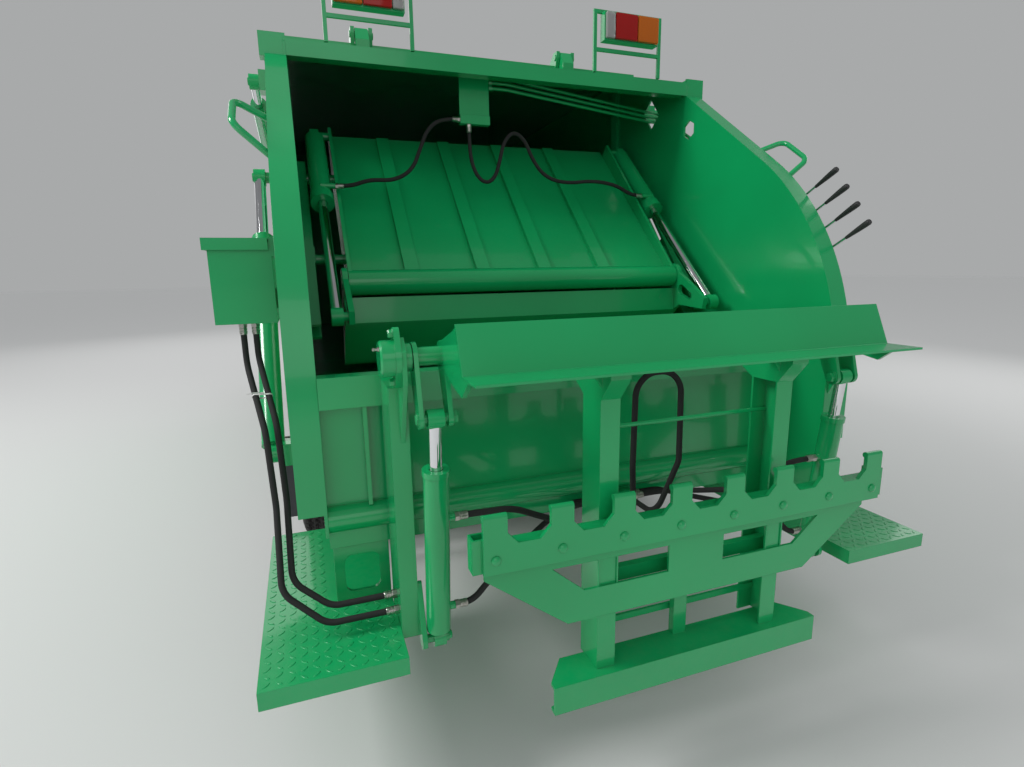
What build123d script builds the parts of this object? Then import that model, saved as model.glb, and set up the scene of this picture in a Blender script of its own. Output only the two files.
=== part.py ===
from build123d import *
import os
from math import cos, hypot, radians, sin

# Rear-loading garbage truck. Sizes are in millimetres. X is to the right, Y forward, Z up.
# Y is measured from the rear face of the bin comb while modelling, and every piece is moved
# at the end so that Y = 0 lies in the middle of the whole length.

# Overall
Y_REAR = -60
Y_FRONT = 7240
Y_MID = (Y_REAR + Y_FRONT) / 2
SEAT = 0.3
RUN = 1.0

# Wheels and axles
TYRE_R = 400
RIM_R = 222
FRONT_TYRE_W = 225
TWIN_TYRE_W = 200
TWIN_GAP = 24
FRONT_AXLE_Y = 6100
REAR_AXLE_Y = 2150
FRONT_WHEEL_X = 880
TWIN_INNER_X = 645
KINGPIN_X = 740
KINGPIN_R = 20
TIE_BALL_X = KINGPIN_X - 30
HUB_R = 95

# Chassis rails
RAIL_X = 335
RAIL_W = 70
RAIL_Z0 = 620
RAIL_H = 200
RAIL_T = 10
TOW_Y = 7100
TOW_Z = 385
TOW_R = 20
TOW_T = 25
RAIL_Y0 = 1560
RAIL_Y1 = 7050
SPRING_W = 60
ENGINE_X = 260
ENGINE_Y0 = 5900
ENGINE_Y1 = 6800
ENGINE_TOP = 880
SHAFT_Y = 5335

# Container
BODY_Y0 = 2225
BODY_Y1 = 5150
PORTAL_Y0 = 2155
FLOOR_Z0 = 900
FLOOR_Z1 = 960
ROOF_Z0 = 2560
ROOF_T = 40
BODY_X = 990
BODY_BULGE = 32
SIDE_T = 16
RIB_D = 28
RIB_W = 70
BULKHEAD_T = 40

# Tailgate
HINGE_Y = 2150
HINGE_Z = 2640
WALL_X = 950
WALL_T = 10
POST_X1 = 1030
POST_D = 60
GATE_Y1 = 2085
RING_D = 60
EDGE_Y = 470
EDGE_R = 1100
EDGE_Z = 1000
EDGE_TURN = 54
BEAM_Y = 1483
BEAM_D = 60
BEAM_Z = 2296
BEAM_H = 52
SILL_Z = 1160
SILL_H = 90
SILL_D = 60
PANEL_Y = 525
SHEET = 10
BOTTOM_TUBE_R = 40

# Packer
SLIDE_LEAN = 40
STROKE = 325
TUBE_Y = 1320
TUBE_Z = 1400
TUBE_R = 52
TUBE_X = 785
PANEL_LEAN = 46
PANEL_L = 1030
PANEL_T = 12
PANEL_RIB_XS = (-515, -195, 105, 415)
PANEL_RIB_W = 62
PANEL_RIB_D = 26
GUIDE_DROP = 120
SHOE_W = 70
BLADE_R = 430
BLADE_GAP = 10
BLADE_T = 25
BLADE_SWING = 85
BLADE_CYL_X = 850
EAR_Y = -230
EAR_Z = -120
CROSSHEAD_Y = 660
CROSSHEAD_Z = 700
SIDE_CYL_X = 1110
SIDE_CYL_R = 40
# The wall's foot lies just under the lowest sweep of the blade
WALL_Z0 = round(TUBE_Z - STROKE * cos(radians(SLIDE_LEAN)) - BLADE_R - BLADE_GAP - 21)

# Tailgate lift cylinders
LIFT_X = 1100
LIFT_R = 36
LIFT_BASE_Y = 3050
LIFT_BASE_Z = 2230
LIFT_EAR_Y = 2000
LIFT_EAR_Z = 2330

# Bin lifter
PIVOT_Y = 265
PIVOT_Z = 1235
PIVOT_R = 34
SHAFT_R = 24
COLUMN_X0 = 729
COLUMN_W = 50
COLUMN_Y0 = 310
COLUMN_Z0 = 425
COLUMN_Z1 = 1150
LIFTER_CYL_X = 680
CRANK_T = 12
CRANK_GAP = 62
LIFTER_CYL_R = 34
LIFTER_ROD_R = 17
CYL_BASE_Y = 285
CYL_BASE_Z = 425
CRANK_Y = 210
CRANK_Z = 1085
PORT_R = 11
PORT_REACH = 48
PORT_UP = (96, 378)
COMB_X = 625
COMB_Z0 = 750
COMB_VALLEY = 72
TOOTH_H = 77
TOOTH_W = 60
TIP_R = 9
TOOTH_PITCH = 170
TEETH = 8
COMB_T = 12
CRADLE_Y = 40
ARM_X = 247
ARM_W = 55
ARM_Y = 48
ARM_D = 95
REST_X = 437
REST_Z = 304
REST_H = 80
DEFLECTOR_X = 650
FOLD_Z = 1210

# Foot plates
STEP_X0 = COLUMN_X0 + COLUMN_W + SEAT
STEP_X1 = 1150
STEP_Y0 = 190
STEP_Y1 = 1080
STEP_Z = 450
STEP_H = 50

# Control box and hoses
BOX_Y = (700, 900)
HOSE_R = 9
HOSE_BEND = 8 * HOSE_R
BOX_TOP = 1535
LID_HINGE_X = -1034
LID_HINGE_Z = 1545

# Cab
CAB_X = 1000
CAB_Y0 = 5450
CAB_Y1 = 7170
CAB_Z0 = TYRE_R + 500
CAB_NOSE_Z = 730
CAB_TOP = 2330
CAB_WALL = 40
CAB_CORNER_R = 100
TILT_Y = 7100
TILT_Z = 690
DOOR_Y0 = 5860
DOOR_Y1 = 6760
DOOR_TOP = 2180
DOOR_GAP = 8
DOOR_HINGE_X = 1014
DOOR_HINGE_Y = 6764
DOOR_HINGE_ZS = (1000, 1350)
ARCH_R = 470
MIRROR_X = 1240


def polar(centre, radius, angle):
    return (centre[0] + radius * cos(radians(angle)), centre[1] + radius * sin(radians(angle)))


def block(x, y, z):
    """Box between low and high values along each axis."""
    middle = Pos((x[0] + x[1]) / 2, (y[0] + y[1]) / 2, (z[0] + z[1]) / 2)
    return middle * Box(x[1] - x[0], y[1] - y[0], z[1] - z[0])


def flat_face(outline):
    """Face from a list of corners or from a closed list of edges."""
    edges = outline if isinstance(outline[0], Edge) else Polyline(*outline, close=True)
    return make_face(edges)


def plate(outline, x):
    """Flat piece with a (Y, Z) outline, between two X values."""
    return extrude(Plane.YZ.offset(x[0]) * flat_face(outline), amount=x[1] - x[0])


def section(outline, y):
    """Long piece with an (X, Z) section, between two Y values."""
    return extrude(Plane.XZ.offset(-y[0]) * flat_face(outline), amount=-(y[1] - y[0]))


def slab(outline, z):
    """Flat piece with an (X, Y) outline, between two Z values."""
    return extrude(Plane.XY.offset(z[0]) * flat_face(outline), amount=z[1] - z[0])


def hull_plate(circles, x):
    """Flat plate that wraps round circles given as (y, z, radius), between two X values."""
    rings = [Pos(y, z) * Circle(radius) for y, z, radius in circles]
    outline = make_hull([edge for ring in rings for edge in ring.edges()])
    return extrude(Plane.YZ.offset(x[0]) * outline, amount=x[1] - x[0])


def hose(points):
    """Round hose along straight runs joined by arcs."""
    path = FilletPolyline(*points, radius=HOSE_BEND)
    return sweep(Plane(origin=path @ 0, z_dir=path % 0) * Circle(HOSE_R), path=path)


def bar(start, end, radius):
    start, end = Vector(*start), Vector(*end)
    along = end - start
    return extrude(Plane(origin=start, z_dir=along) * Circle(radius), amount=along.length)


def pipe(start, end, outer, inner):
    return bar(start, end, outer) - bar(start, end, inner)


def cross(y, z, x, radius):
    """Round bar along X."""
    return bar((x[0], y, z), (x[1], y, z), radius)


def both(piece):
    return piece + mirror(piece, about=Plane.YZ)


def strip(start, end, half, x):
    """Straight flat bar along a line in the (Y, Z) plane."""
    length = hypot(end[0] - start[0], end[1] - start[1])
    ny = -(end[1] - start[1]) / length * half
    nz = (end[0] - start[0]) / length * half
    corners = [
        (start[0] + ny, start[1] + nz),
        (end[0] + ny, end[1] + nz),
        (end[0] - ny, end[1] - nz),
        (start[0] - ny, start[1] - nz),
    ]
    return plate(corners, x)


def along(point, lean, distance):
    """Point further up a line that leans forward from the vertical by some degrees."""
    return (point[0] + distance * sin(radians(lean)), point[1] + distance * cos(radians(lean)))


# Points of the packer, at rest with the carriage up and the blade closed
HINGE = (TUBE_Y, TUBE_Z)
LOW_HINGE = along(HINGE, SLIDE_LEAN, -STROKE)
EAR = (TUBE_Y + EAR_Y, TUBE_Z + EAR_Z)
CROSSHEAD = (TUBE_Y + CROSSHEAD_Y, TUBE_Z + CROSSHEAD_Z)
TOP_SHOE = (
    along(HINGE, SLIDE_LEAN, 731)[0] + GUIDE_DROP * cos(radians(SLIDE_LEAN)),
    along(HINGE, SLIDE_LEAN, 731)[1] - GUIDE_DROP * sin(radians(SLIDE_LEAN)),
)
LOW_SHOE = along(TOP_SHOE, SLIDE_LEAN, -500)
PANEL_TOP = along(HINGE, PANEL_LEAN, PANEL_L)
EDGE_CENTRE = (EDGE_Y + EDGE_R, EDGE_Z)
ROOF_REAR = (BEAM_Y, BEAM_Z + BEAM_H)
ROOF_FRONT = (GATE_Y1, ROOF_Z0 - SHEET)


# Chassis

def rail_channel():
    outer = block((RAIL_X, RAIL_X + RAIL_W), (RAIL_Y0, RAIL_Y1), (RAIL_Z0, RAIL_Z0 + RAIL_H))
    hollow = block(
        (RAIL_X - 1, RAIL_X + RAIL_W - RAIL_T),
        (RAIL_Y0 - 1, RAIL_Y1 + 1),
        (RAIL_Z0 + RAIL_T, RAIL_Z0 + RAIL_H - RAIL_T),
    )
    return outer - hollow


CROSS_MEMBERS = (RAIL_Y0 + 40, 2700, 3500, 4400, 5300, 6950)


def chassis_frame():
    frame = both(rail_channel())
    reach = RAIL_X + RAIL_W - RAIL_T
    for y in CROSS_MEMBERS:
        frame += block((-reach, reach), (y - 30, y + 30), (RAIL_Z0 + RAIL_T, RAIL_Z0 + 120))
    for y in (6150, 6500):
        frame += block((-reach, reach), (y - 20, y + 20), (RAIL_Z0 + RAIL_T, RAIL_Z0 + 40))
    hanger = block((RAIL_X + RAIL_W - 1, 1120), (1583, 1603), (RAIL_Z0 + 40, RAIL_Z0 + 80))
    tilt_ear = block((RAIL_X, RAIL_X + RAIL_W), (7040, TILT_Y + 30), (TILT_Z - 40, TILT_Z + 30))
    tilt_ear -= cross(TILT_Y, TILT_Z, (RAIL_X - 1, RAIL_X + RAIL_W + 1), 16)
    return frame + both(hanger) + both(tilt_ear)


def leaf_pack(y, z_axle, half, x=RAIL_X + RAIL_W / 2):
    """Leaf spring under a rail: stacked leaves, shackles at both ends."""
    pack = None
    for leaf in range(4):
        reach = half - leaf * half * 0.2
        z = z_axle + 36 - leaf * 12
        bow = section([(x - SPRING_W / 2, z), (x + SPRING_W / 2, z), (x + SPRING_W / 2, z + 12),
                       (x - SPRING_W / 2, z + 12)], (y - reach, y + reach))
        pack = bow if pack is None else pack + bow
    for end in (-1, 1):
        eye_y = y + end * (half - 20)
        pack += block((x - 25, x + 25), (eye_y - 20, eye_y + 20), (z_axle + 40, RAIL_Z0 - SEAT))
    return pack


def front_axle():
    z = TYRE_R - 20
    reach, width = KINGPIN_X - 60, (FRONT_AXLE_Y - 40, FRONT_AXLE_Y + 40)
    beam = block((-reach, reach), width, (z - 60, z))
    beam += both(block((reach - 50, reach + 30), width, (z - 25, z + 45)))
    boss = bar((KINGPIN_X, FRONT_AXLE_Y, z - 25), (KINGPIN_X, FRONT_AXLE_Y, z + 65), 42)
    boss -= bar((KINGPIN_X, FRONT_AXLE_Y, z - 30), (KINGPIN_X, FRONT_AXLE_Y, z + 70), KINGPIN_R + 0.5)
    spring = leaf_pack(FRONT_AXLE_Y, z, 520)
    return beam + both(boss) + both(spring)


def knuckle():
    """Right front stub axle with its yoke, kingpin and steering arm."""
    y, z = FRONT_AXLE_Y, TYRE_R - 20
    pin = bar((KINGPIN_X, y, z - 55), (KINGPIN_X, y, z + 95), KINGPIN_R)
    lower = block((KINGPIN_X - 35, KINGPIN_X + 80), (y - 35, y + 35), (z - 60, z - 27))
    upper = block((KINGPIN_X - 35, KINGPIN_X + 80), (y - 35, y + 35), (z + 67, z + 100))
    back = block((KINGPIN_X + 48, KINGPIN_X + 80), (y - 35, y + 35), (z - 60, z + 100))
    stub = cross(y, TYRE_R, (KINGPIN_X + 70, FRONT_WHEEL_X + 60), 30)
    arm = slab([(KINGPIN_X - 25, y - 30), (KINGPIN_X + 25, y - 30), (TIE_BALL_X + 25, y - 190),
                (TIE_BALL_X - 25, y - 190)], (z - 60, z - 40))
    return pin + lower + upper + back + stub + arm


def tie_rod():
    """Bar that joins the two steering arms, hung just under them."""
    z = TYRE_R - 20 - 60 - SEAT
    y = FRONT_AXLE_Y - 165
    rod = cross(y, z - 20, (-TIE_BALL_X + 20, TIE_BALL_X - 20), 15)
    return rod + both(bar((TIE_BALL_X, y, z - 38), (TIE_BALL_X, y, z), 20.5))


def rear_axle():
    half = TWIN_INNER_X - 10
    tube = cross(REAR_AXLE_Y, TYRE_R, (-half, half), 62)
    ball = Pos(0, REAR_AXLE_Y, TYRE_R) * Sphere(185)
    nose = bar((0, REAR_AXLE_Y + 120, TYRE_R + 20), (0, REAR_AXLE_Y + 300, TYRE_R + 30), 75)
    stub = both(cross(REAR_AXLE_Y, TYRE_R, (half - 1, 1010), 40))
    shaft = bar((0, REAR_AXLE_Y + 299, TYRE_R + 30), (0, SHAFT_Y, 560), 45)
    spring = leaf_pack(REAR_AXLE_Y, TYRE_R + 60, 560)
    return tube + ball + nose + stub + shaft + both(spring)


def tyre(width, x):
    """Ring with bulged side walls and a slightly crowned tread, about the X axis."""
    half = width / 2
    low = RIM_R + SEAT
    shoulder = TYRE_R - 14
    edges = [
        Line((-half + 22, low), (half - 22, low)),
        ThreePointArc((half - 22, low), (half, (low + shoulder) / 2), (half - 14, shoulder)),
        ThreePointArc((half - 14, shoulder), (half - 22, TYRE_R - 4), (half - 34, TYRE_R - 2)),
        ThreePointArc((half - 34, TYRE_R - 2), (0, TYRE_R), (-half + 34, TYRE_R - 2)),
        ThreePointArc((-half + 34, TYRE_R - 2), (-half + 22, TYRE_R - 4), (-half + 14, shoulder)),
        ThreePointArc((-half + 14, shoulder), (-half, (low + shoulder) / 2), (-half + 22, low)),
    ]
    ring = revolve(Plane.XZ * make_face(edges), Axis.X, 360)
    return Pos(x, 0, 0) * ring


def rim(width, x, dish_x, bore):
    """Rim band with a holed disc at dish_x and a bore for the stub axle."""
    half = width / 2 - 18
    band = cross(0, 0, (x - half, x + half), RIM_R) - cross(0, 0, (x - half - 1, x + half + 1), RIM_R - 14)
    disc = cross(0, 0, (dish_x - 7, dish_x + 7), RIM_R - 13)
    for turn in range(8):
        y, z = polar((0, 0), 155, turn * 45)
        disc -= cross(y, z, (dish_x - 8, dish_x + 8), 24)
    return band + disc - cross(0, 0, (x - width, x + width), bore)


def front_wheel():
    """Rim, disc and hub of the right front wheel."""
    x = FRONT_WHEEL_X
    hub = cross(0, 0, (x - 54, x + 92), HUB_R) - cross(0, 0, (x - 55, x + 61), 31)
    return Pos(0, FRONT_AXLE_Y, TYRE_R) * (rim(FRONT_TYRE_W, x, x + 40, 31) + hub)


def front_tyre():
    return Pos(0, FRONT_AXLE_Y, TYRE_R) * tyre(FRONT_TYRE_W, FRONT_WHEEL_X)


def twin_places():
    """X of the middle of the inner and the outer right rear tyre."""
    inner = TWIN_INNER_X + TWIN_TYRE_W / 2
    return inner, inner + TWIN_TYRE_W + TWIN_GAP


def twin_wheels():
    """Both rims of the right rear pair, with the spacer and the hub."""
    inner, outer = twin_places()
    middle = (inner + outer) / 2
    rims = rim(TWIN_TYRE_W, inner, middle - 7, 41) + rim(TWIN_TYRE_W, outer, middle + 7, 41)
    spacer = cross(0, 0, (inner + 80, outer - 80), RIM_R - 14)
    spacer -= cross(0, 0, (inner + 79, outer - 79), RIM_R - 30)
    hub = cross(0, 0, (middle - 40, outer + 70), HUB_R) - cross(0, 0, (middle - 41, 1012), 41)
    return Pos(0, REAR_AXLE_Y, TYRE_R) * (rims + spacer + hub)


def twin_tyres():
    inner, outer = twin_places()
    return Pos(0, REAR_AXLE_Y, TYRE_R) * (tyre(TWIN_TYRE_W, inner) + tyre(TWIN_TYRE_W, outer))


def engine_block():
    """Engine with its gearbox, one plain block between the rails."""
    engine = block((-ENGINE_X, ENGINE_X), (ENGINE_Y0, ENGINE_Y1), (RAIL_Z0 + 40 + SEAT, ENGINE_TOP))
    sump = block((-180, 180), (6190, 6440), (520, RAIL_Z0 + 60))
    gearbox = block((-150, 150), (SHAFT_Y + 2.5, ENGINE_Y0 + 1), (490, RAIL_Z0 + 120))
    return engine + sump + gearbox


def side_tanks():
    """Fuel tank on the left, oil tank and battery box on the right, each hung on its rail."""
    x0 = RAIL_X + RAIL_W + SEAT
    fuel = fillet(block((-x0 - 480, -x0), (4150, 5150), (400, 800)).edges().filter_by(Axis.Y), 60)
    straps = None
    for y in (4350, 4950):
        band = block((-x0 - 486, -x0 + 0), (y - 25, y + 25), (394, 806))
        band = fillet(band.edges().filter_by(Axis.Y), 64)
        straps = band if straps is None else straps + band
    oil = block((x0, x0 + 450), (4400, 5200), (420, 800))
    cap = bar((x0 + 120, 4560, 799), (x0 + 120, 4560, 840), 50)
    battery = block((x0, x0 + 420), (3650, 4150), (480, 790))
    return fuel + straps + oil + cap + battery


def front_bumper():
    outline = [(-1000, 6960), (-1000, 7120), (-860, 7225), (0, Y_FRONT), (860, 7225), (1000, 7120),
               (1000, 6960), (960, 6960), (940, 7080), (-940, 7080), (-960, 6960)]
    skin = extrude(Plane.XY.offset(430) * make_face(Polyline(*outline, close=True)), amount=215)
    arms = both(block((RAIL_X, RAIL_X + RAIL_W), (RAIL_Y1 - 60, 7081), (500, RAIL_Z0 - SEAT)))
    fogs = both(block((520, 720), (7150, 7300), (480, 570)))
    eye = block((RAIL_X, RAIL_X + TOW_T), (TOW_Y - 60, TOW_Y + 40), (TOW_Z - 35, 520)) - cross(
        TOW_Y, TOW_Z, (RAIL_X - 1, RAIL_X + TOW_T + 1), TOW_R)
    return skin + arms - fogs + both(eye)


# Container

def side_arc(offset, z0, z1):
    """Edge of the slightly bulged side at a distance outside its outer skin."""
    middle = (FLOOR_Z1 + ROOF_Z0) / 2
    rise = (ROOF_Z0 - FLOOR_Z1) / 2
    return [
        (BODY_X + offset + BODY_BULGE * (1 - ((z - middle) / rise) ** 2), z)
        for z in (z0, (z0 + z1) / 2, z1)
    ]


def side_band(inner, outer, y, z0=FLOOR_Z0, z1=ROOF_Z0):
    a, b = side_arc(inner, z0, z1), side_arc(outer, z0, z1)
    edges = [ThreePointArc(*b), Line(b[2], a[2]), ThreePointArc(*a), Line(a[0], b[0])]
    return section(edges, y)


RIB_ROWS = 5


def rib_rows():
    step = (BODY_Y1 - BODY_Y0 - RIB_W) / (RIB_ROWS - 1)
    return [BODY_Y0 + step * i for i in range(RIB_ROWS)]


def body_sides():
    side = side_band(-SIDE_T, 0, (BODY_Y0, BODY_Y1))
    for y in rib_rows():
        side += side_band(-1, RIB_D, (y, y + RIB_W))
    rail = side_band(-1, RIB_D - 6, (BODY_Y0, BODY_Y1), FLOOR_Z0, FLOOR_Z1)
    top = side_band(-1, RIB_D - 6, (BODY_Y0, BODY_Y1), ROOF_Z0 - 50, ROOF_Z0)
    y, z = LIFT_BASE_Y, LIFT_BASE_Z
    lug = cross(y, z, (BODY_X, LIFT_X - 22 - SEAT), 26)
    pin = cross(y, z, (LIFT_X - 24, LIFT_X + 30), 20)
    return both(side + rail + top + lug + pin)


def body_floor():
    reach = BODY_X - SIDE_T - 8
    floor = block((-reach, reach), (BODY_Y0, BODY_Y1), (FLOOR_Z0, FLOOR_Z1))
    sill = block((RAIL_X, RAIL_X + RAIL_W), (BODY_Y0, BODY_Y1), (RAIL_Z0 + RAIL_H + SEAT, FLOOR_Z0 + 1))
    bulkhead = block((-reach, reach), (BODY_Y1 - BULKHEAD_T, BODY_Y1), (FLOOR_Z0, ROOF_Z0 - SEAT))
    return floor + both(sill) + bulkhead


def body_roof():
    reach = BODY_X + 24
    skin = block((-reach, reach), (BODY_Y0, BODY_Y1), (ROOF_Z0 + SEAT, ROOF_Z0 + ROOF_T))
    for y in rib_rows():
        skin += block((-reach, reach), (y, y + RIB_W), (ROOF_Z0 + ROOF_T - 1, ROOF_Z0 + ROOF_T + 22))
    return skin


def rear_portal():
    """Thick frame round the mouth of the container, with the tailgate's hinge ears."""
    x1, x0 = BODY_X + 60, WALL_X - 10
    ring = block((-x1, x1), (PORTAL_Y0, BODY_Y0 - SEAT), (FLOOR_Z0 - 40, ROOF_Z0 + ROOF_T))
    ring -= block((-x0, x0), (PORTAL_Y0 - 1, BODY_Y0 + 1), (FLOOR_Z1, ROOF_Z0 - 20))
    sill = block((RAIL_X, RAIL_X + RAIL_W), (PORTAL_Y0, BODY_Y0 - SEAT), (RAIL_Z0 + RAIL_H + SEAT, FLOOR_Z0))
    ears = None
    for x in (520, 610):
        ear = plate([(PORTAL_Y0, ROOF_Z0), (BODY_Y0 - SEAT, ROOF_Z0), (BODY_Y0 - SEAT, HINGE_Z - 10),
                     (HINGE_Y + 25, HINGE_Z + 30), (HINGE_Y - 25, HINGE_Z + 30), (HINGE_Y - 25, HINGE_Z)],
                    (x, x + 20))
        ears = ear if ears is None else ears + ear
    pin = cross(HINGE_Y, HINGE_Z, (515, 635), 16)
    return ring + both(sill) + both(ears + pin)


def guards():
    """Rear mudguards and the side rails between the axles."""
    out = TWIN_INNER_X + 2 * TWIN_TYRE_W + TWIN_GAP + 10
    inner = TWIN_INNER_X - 8
    arch = cross(REAR_AXLE_Y, TYRE_R, (inner, out), TYRE_R + 55)
    arch -= cross(REAR_AXLE_Y, TYRE_R, (inner - 1, out + 1), TYRE_R + 47)
    arch -= block((inner - 2, out + 2), (REAR_AXLE_Y - 500, REAR_AXLE_Y + 500), (TYRE_R - 500, TYRE_R + 180))
    arch += block((inner + 60, out - 60), (REAR_AXLE_Y + 90, REAR_AXLE_Y + 130), (835, FLOOR_Z0 - SEAT))
    rails = None
    for z in (470, 640):
        rail = block((BODY_X - 10, BODY_X + 20), (2750, 3600), (z, z + 60))
        rails = rail if rails is None else rails + rail
    for y in (2900, 3450):
        rails += block((BODY_X - 50, BODY_X - 9), (y, y + 50), (470, FLOOR_Z0 - SEAT))
    return both(arch) + both(rails)


def mudflaps():
    return both(block((700, 1110), (1604 - SEAT, 1614), (300, RAIL_Z0 + 60)))


# Cab

def cab_outline(inset=0):
    """Side view of the cab with a raked screen and the arch over the front wheel."""
    arch_z = TYRE_R + ARCH_R
    nose_y = FRONT_AXLE_Y + 460
    y0, y1, top = CAB_Y0 + inset, CAB_Y1 - inset, CAB_TOP - inset
    return [
        (y0, CAB_Z0 + inset),
        (nose_y - 30 + inset, arch_z + 30 + inset),
        (nose_y + 60 + inset, CAB_NOSE_Z + inset),
        (y1, CAB_NOSE_Z + inset),
        (y1, 1480),
        (y1 - 260, top - 90),
        (y1 - 380, top),
        (y0 + 60, top),
        (y0, top - 60),
    ]


def cab_solid(inset=0):
    solid = plate(cab_outline(inset), (-CAB_X + inset, CAB_X - inset))
    front = [e for e in solid.edges() if abs(e.center().X) > CAB_X - inset - 1
             and e.center().Y > CAB_Y1 - 200 and e.length > 300]
    return fillet(front, CAB_CORNER_R - inset)


def door_outline(gap):
    """Door in side view: upright rear edge, front edge raked beside the screen."""
    return [
        (DOOR_Y0 - gap, CAB_Z0 + 30 - gap),
        (6480 - 0.44 * gap, CAB_Z0 + 30 - gap),
        (6610 - 0.44 * gap, 790 - gap),
        (DOOR_Y1 + gap, 790 - gap),
        (DOOR_Y1 + gap, 1450),
        (DOOR_Y1 - 170 + gap, DOOR_TOP + gap),
        (DOOR_Y0 - gap, DOOR_TOP + gap),
    ]


def door_window(gap):
    return [
        (DOOR_Y0 + 90 - gap, 1420 - gap),
        (DOOR_Y1 - 75 + gap, 1420 - gap),
        (DOOR_Y1 - 245 + gap, DOOR_TOP - 80 + gap),
        (DOOR_Y0 + 90 - gap, DOOR_TOP - 80 + gap),
    ]


def door_knuckles():
    """Fixed halves of the right door's hinges, with the pins."""
    x, y = DOOR_HINGE_X, DOOR_HINGE_Y
    hinges = None
    for z in DOOR_HINGE_ZS:
        pin = bar((x, y, z - 55), (x, y, z + 55), 6)
        ends = bar((x, y, z - 55), (x, y, z - 25 - SEAT), 12) + bar((x, y, z + 25 + SEAT), (x, y, z + 55), 12)
        leaf_y = (DOOR_Y1 + DOOR_GAP, DOOR_Y1 + DOOR_GAP + 40)
        leaf = block((CAB_X - 1, CAB_X + 10), leaf_y, (z - 55, z - 25 - SEAT))
        leaf += block((CAB_X - 1, CAB_X + 10), leaf_y, (z + 25 + SEAT, z + 55))
        piece = pin + ends + leaf
        hinges = piece if hinges is None else hinges + piece
    return hinges


SCREEN_LOW = (CAB_Y1, 1480)
SCREEN_HIGH = (CAB_Y1 - 260, CAB_TOP - 90)


def screen_hole(grow, depth):
    """Solid in the plane of the screen: the opening for the glass, or the glass itself."""
    run, rise = SCREEN_HIGH[0] - SCREEN_LOW[0], SCREEN_HIGH[1] - SCREEN_LOW[1]
    length = hypot(run, rise)
    along_screen = Vector(0, run / length, rise / length)
    plane = Plane(origin=(0, SCREEN_LOW[0], SCREEN_LOW[1]), x_dir=(1, 0, 0),
                  z_dir=Vector(1, 0, 0).cross(along_screen))
    shape = Pos(0, length / 2) * Rectangle(2 * (CAB_X - 120) + 2 * grow, length - 90 + 2 * grow)
    sheet = plane * shape
    return extrude(sheet, amount=depth[1]) + extrude(sheet, amount=-depth[0])


def cab_shell():
    shell = cab_solid() - cab_solid(CAB_WALL)
    door_cut = plate(door_outline(DOOR_GAP), (CAB_X - CAB_WALL - 5, CAB_X + 5))
    shell -= both(door_cut)
    shell -= screen_hole(0, (120, 60))
    shell -= block((-620, 620), (CAB_Y0 - 1, CAB_Y0 + CAB_WALL + 1), (1480, 2060))
    nose_floor_z = ENGINE_TOP + 10
    shell -= block((-450, 450), (6500, CAB_Y1 - CAB_WALL), (CAB_NOSE_Z - 1, nose_floor_z))
    shell += block((-450, 450), (6500, CAB_Y1 - CAB_WALL + 1), (nose_floor_z, nose_floor_z + 30))
    hump = block((-280, 280), (CAB_Y0 + CAB_WALL - 1, 6800), (CAB_Z0 + 20, 1100))
    tongue_y = (TILT_Y - 22, CAB_Y1 - CAB_WALL + 5)
    tongue = both(block((RAIL_X - 40, RAIL_X - SEAT), tongue_y, (TILT_Z - 22, nose_floor_z + 1)))
    pins = both(cross(TILT_Y, TILT_Z, (RAIL_X - 10, RAIL_X + RAIL_W - 5), 15))
    return shell + hump + tongue + pins + both(door_knuckles())


def cab_glass():
    front = screen_hole(-SEAT, (14, -6))
    rear = block((-620 + SEAT, 620 - SEAT), (CAB_Y0 + 10, CAB_Y0 + 18), (1480 + SEAT, 2060 - SEAT))
    return front + rear


def door():
    skin = plate(door_outline(0), (CAB_X - CAB_WALL, CAB_X))
    skin -= plate(door_window(0), (CAB_X - CAB_WALL - 1, CAB_X + 1))
    handle = block((CAB_X - 1, CAB_X + 22), (DOOR_Y0 + 40, DOOR_Y0 + 200), (1290, 1320))
    piece = skin + handle
    for z in DOOR_HINGE_ZS:
        piece += block((CAB_X - 1, CAB_X + 10), (DOOR_Y1 - 40, DOOR_Y1), (z - 25, z + 25))
        piece += bar((DOOR_HINGE_X, DOOR_HINGE_Y, z - 25), (DOOR_HINGE_X, DOOR_HINGE_Y, z + 25), 12)
        piece -= bar((DOOR_HINGE_X, DOOR_HINGE_Y, z - 26), (DOOR_HINGE_X, DOOR_HINGE_Y, z + 26), 6.3)
    return piece


def door_glass():
    return plate(door_window(-SEAT), (CAB_X - 26, CAB_X - 20))


def seats():
    y = 5760
    parts = []
    for x, width in ((-560, 480), (330, 840)):
        cushion = block((x - width / 2, x + width / 2), (y, y + 480), (1180, 1310))
        back = plate([(y - 20, 1310 + SEAT), (y + 110, 1310 + SEAT), (y - 10, 1840), (y - 110, 1840)],
                     (x - width / 2, x + width / 2))
        parts.append(fillet(cushion.edges().filter_by(Axis.Y), 30) + back)
    return parts[0] + parts[1]


def steering_wheel():
    """Wheel on its column, with three spokes in the plane of the rim."""
    centre = (-520, 6640, 1450)
    plane = Plane(origin=centre, x_dir=(1, 0, 0), z_dir=(0, -190, 200))
    piece = bar((-520, 6830, 1250), centre, 24) + plane * Torus(205, 15)
    for turn in (90, 210, 330):
        end = plane.from_local_coords(Vector(203 * cos(radians(turn)), 203 * sin(radians(turn)), 0))
        piece += bar(centre, end, 9)
    return piece


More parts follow.
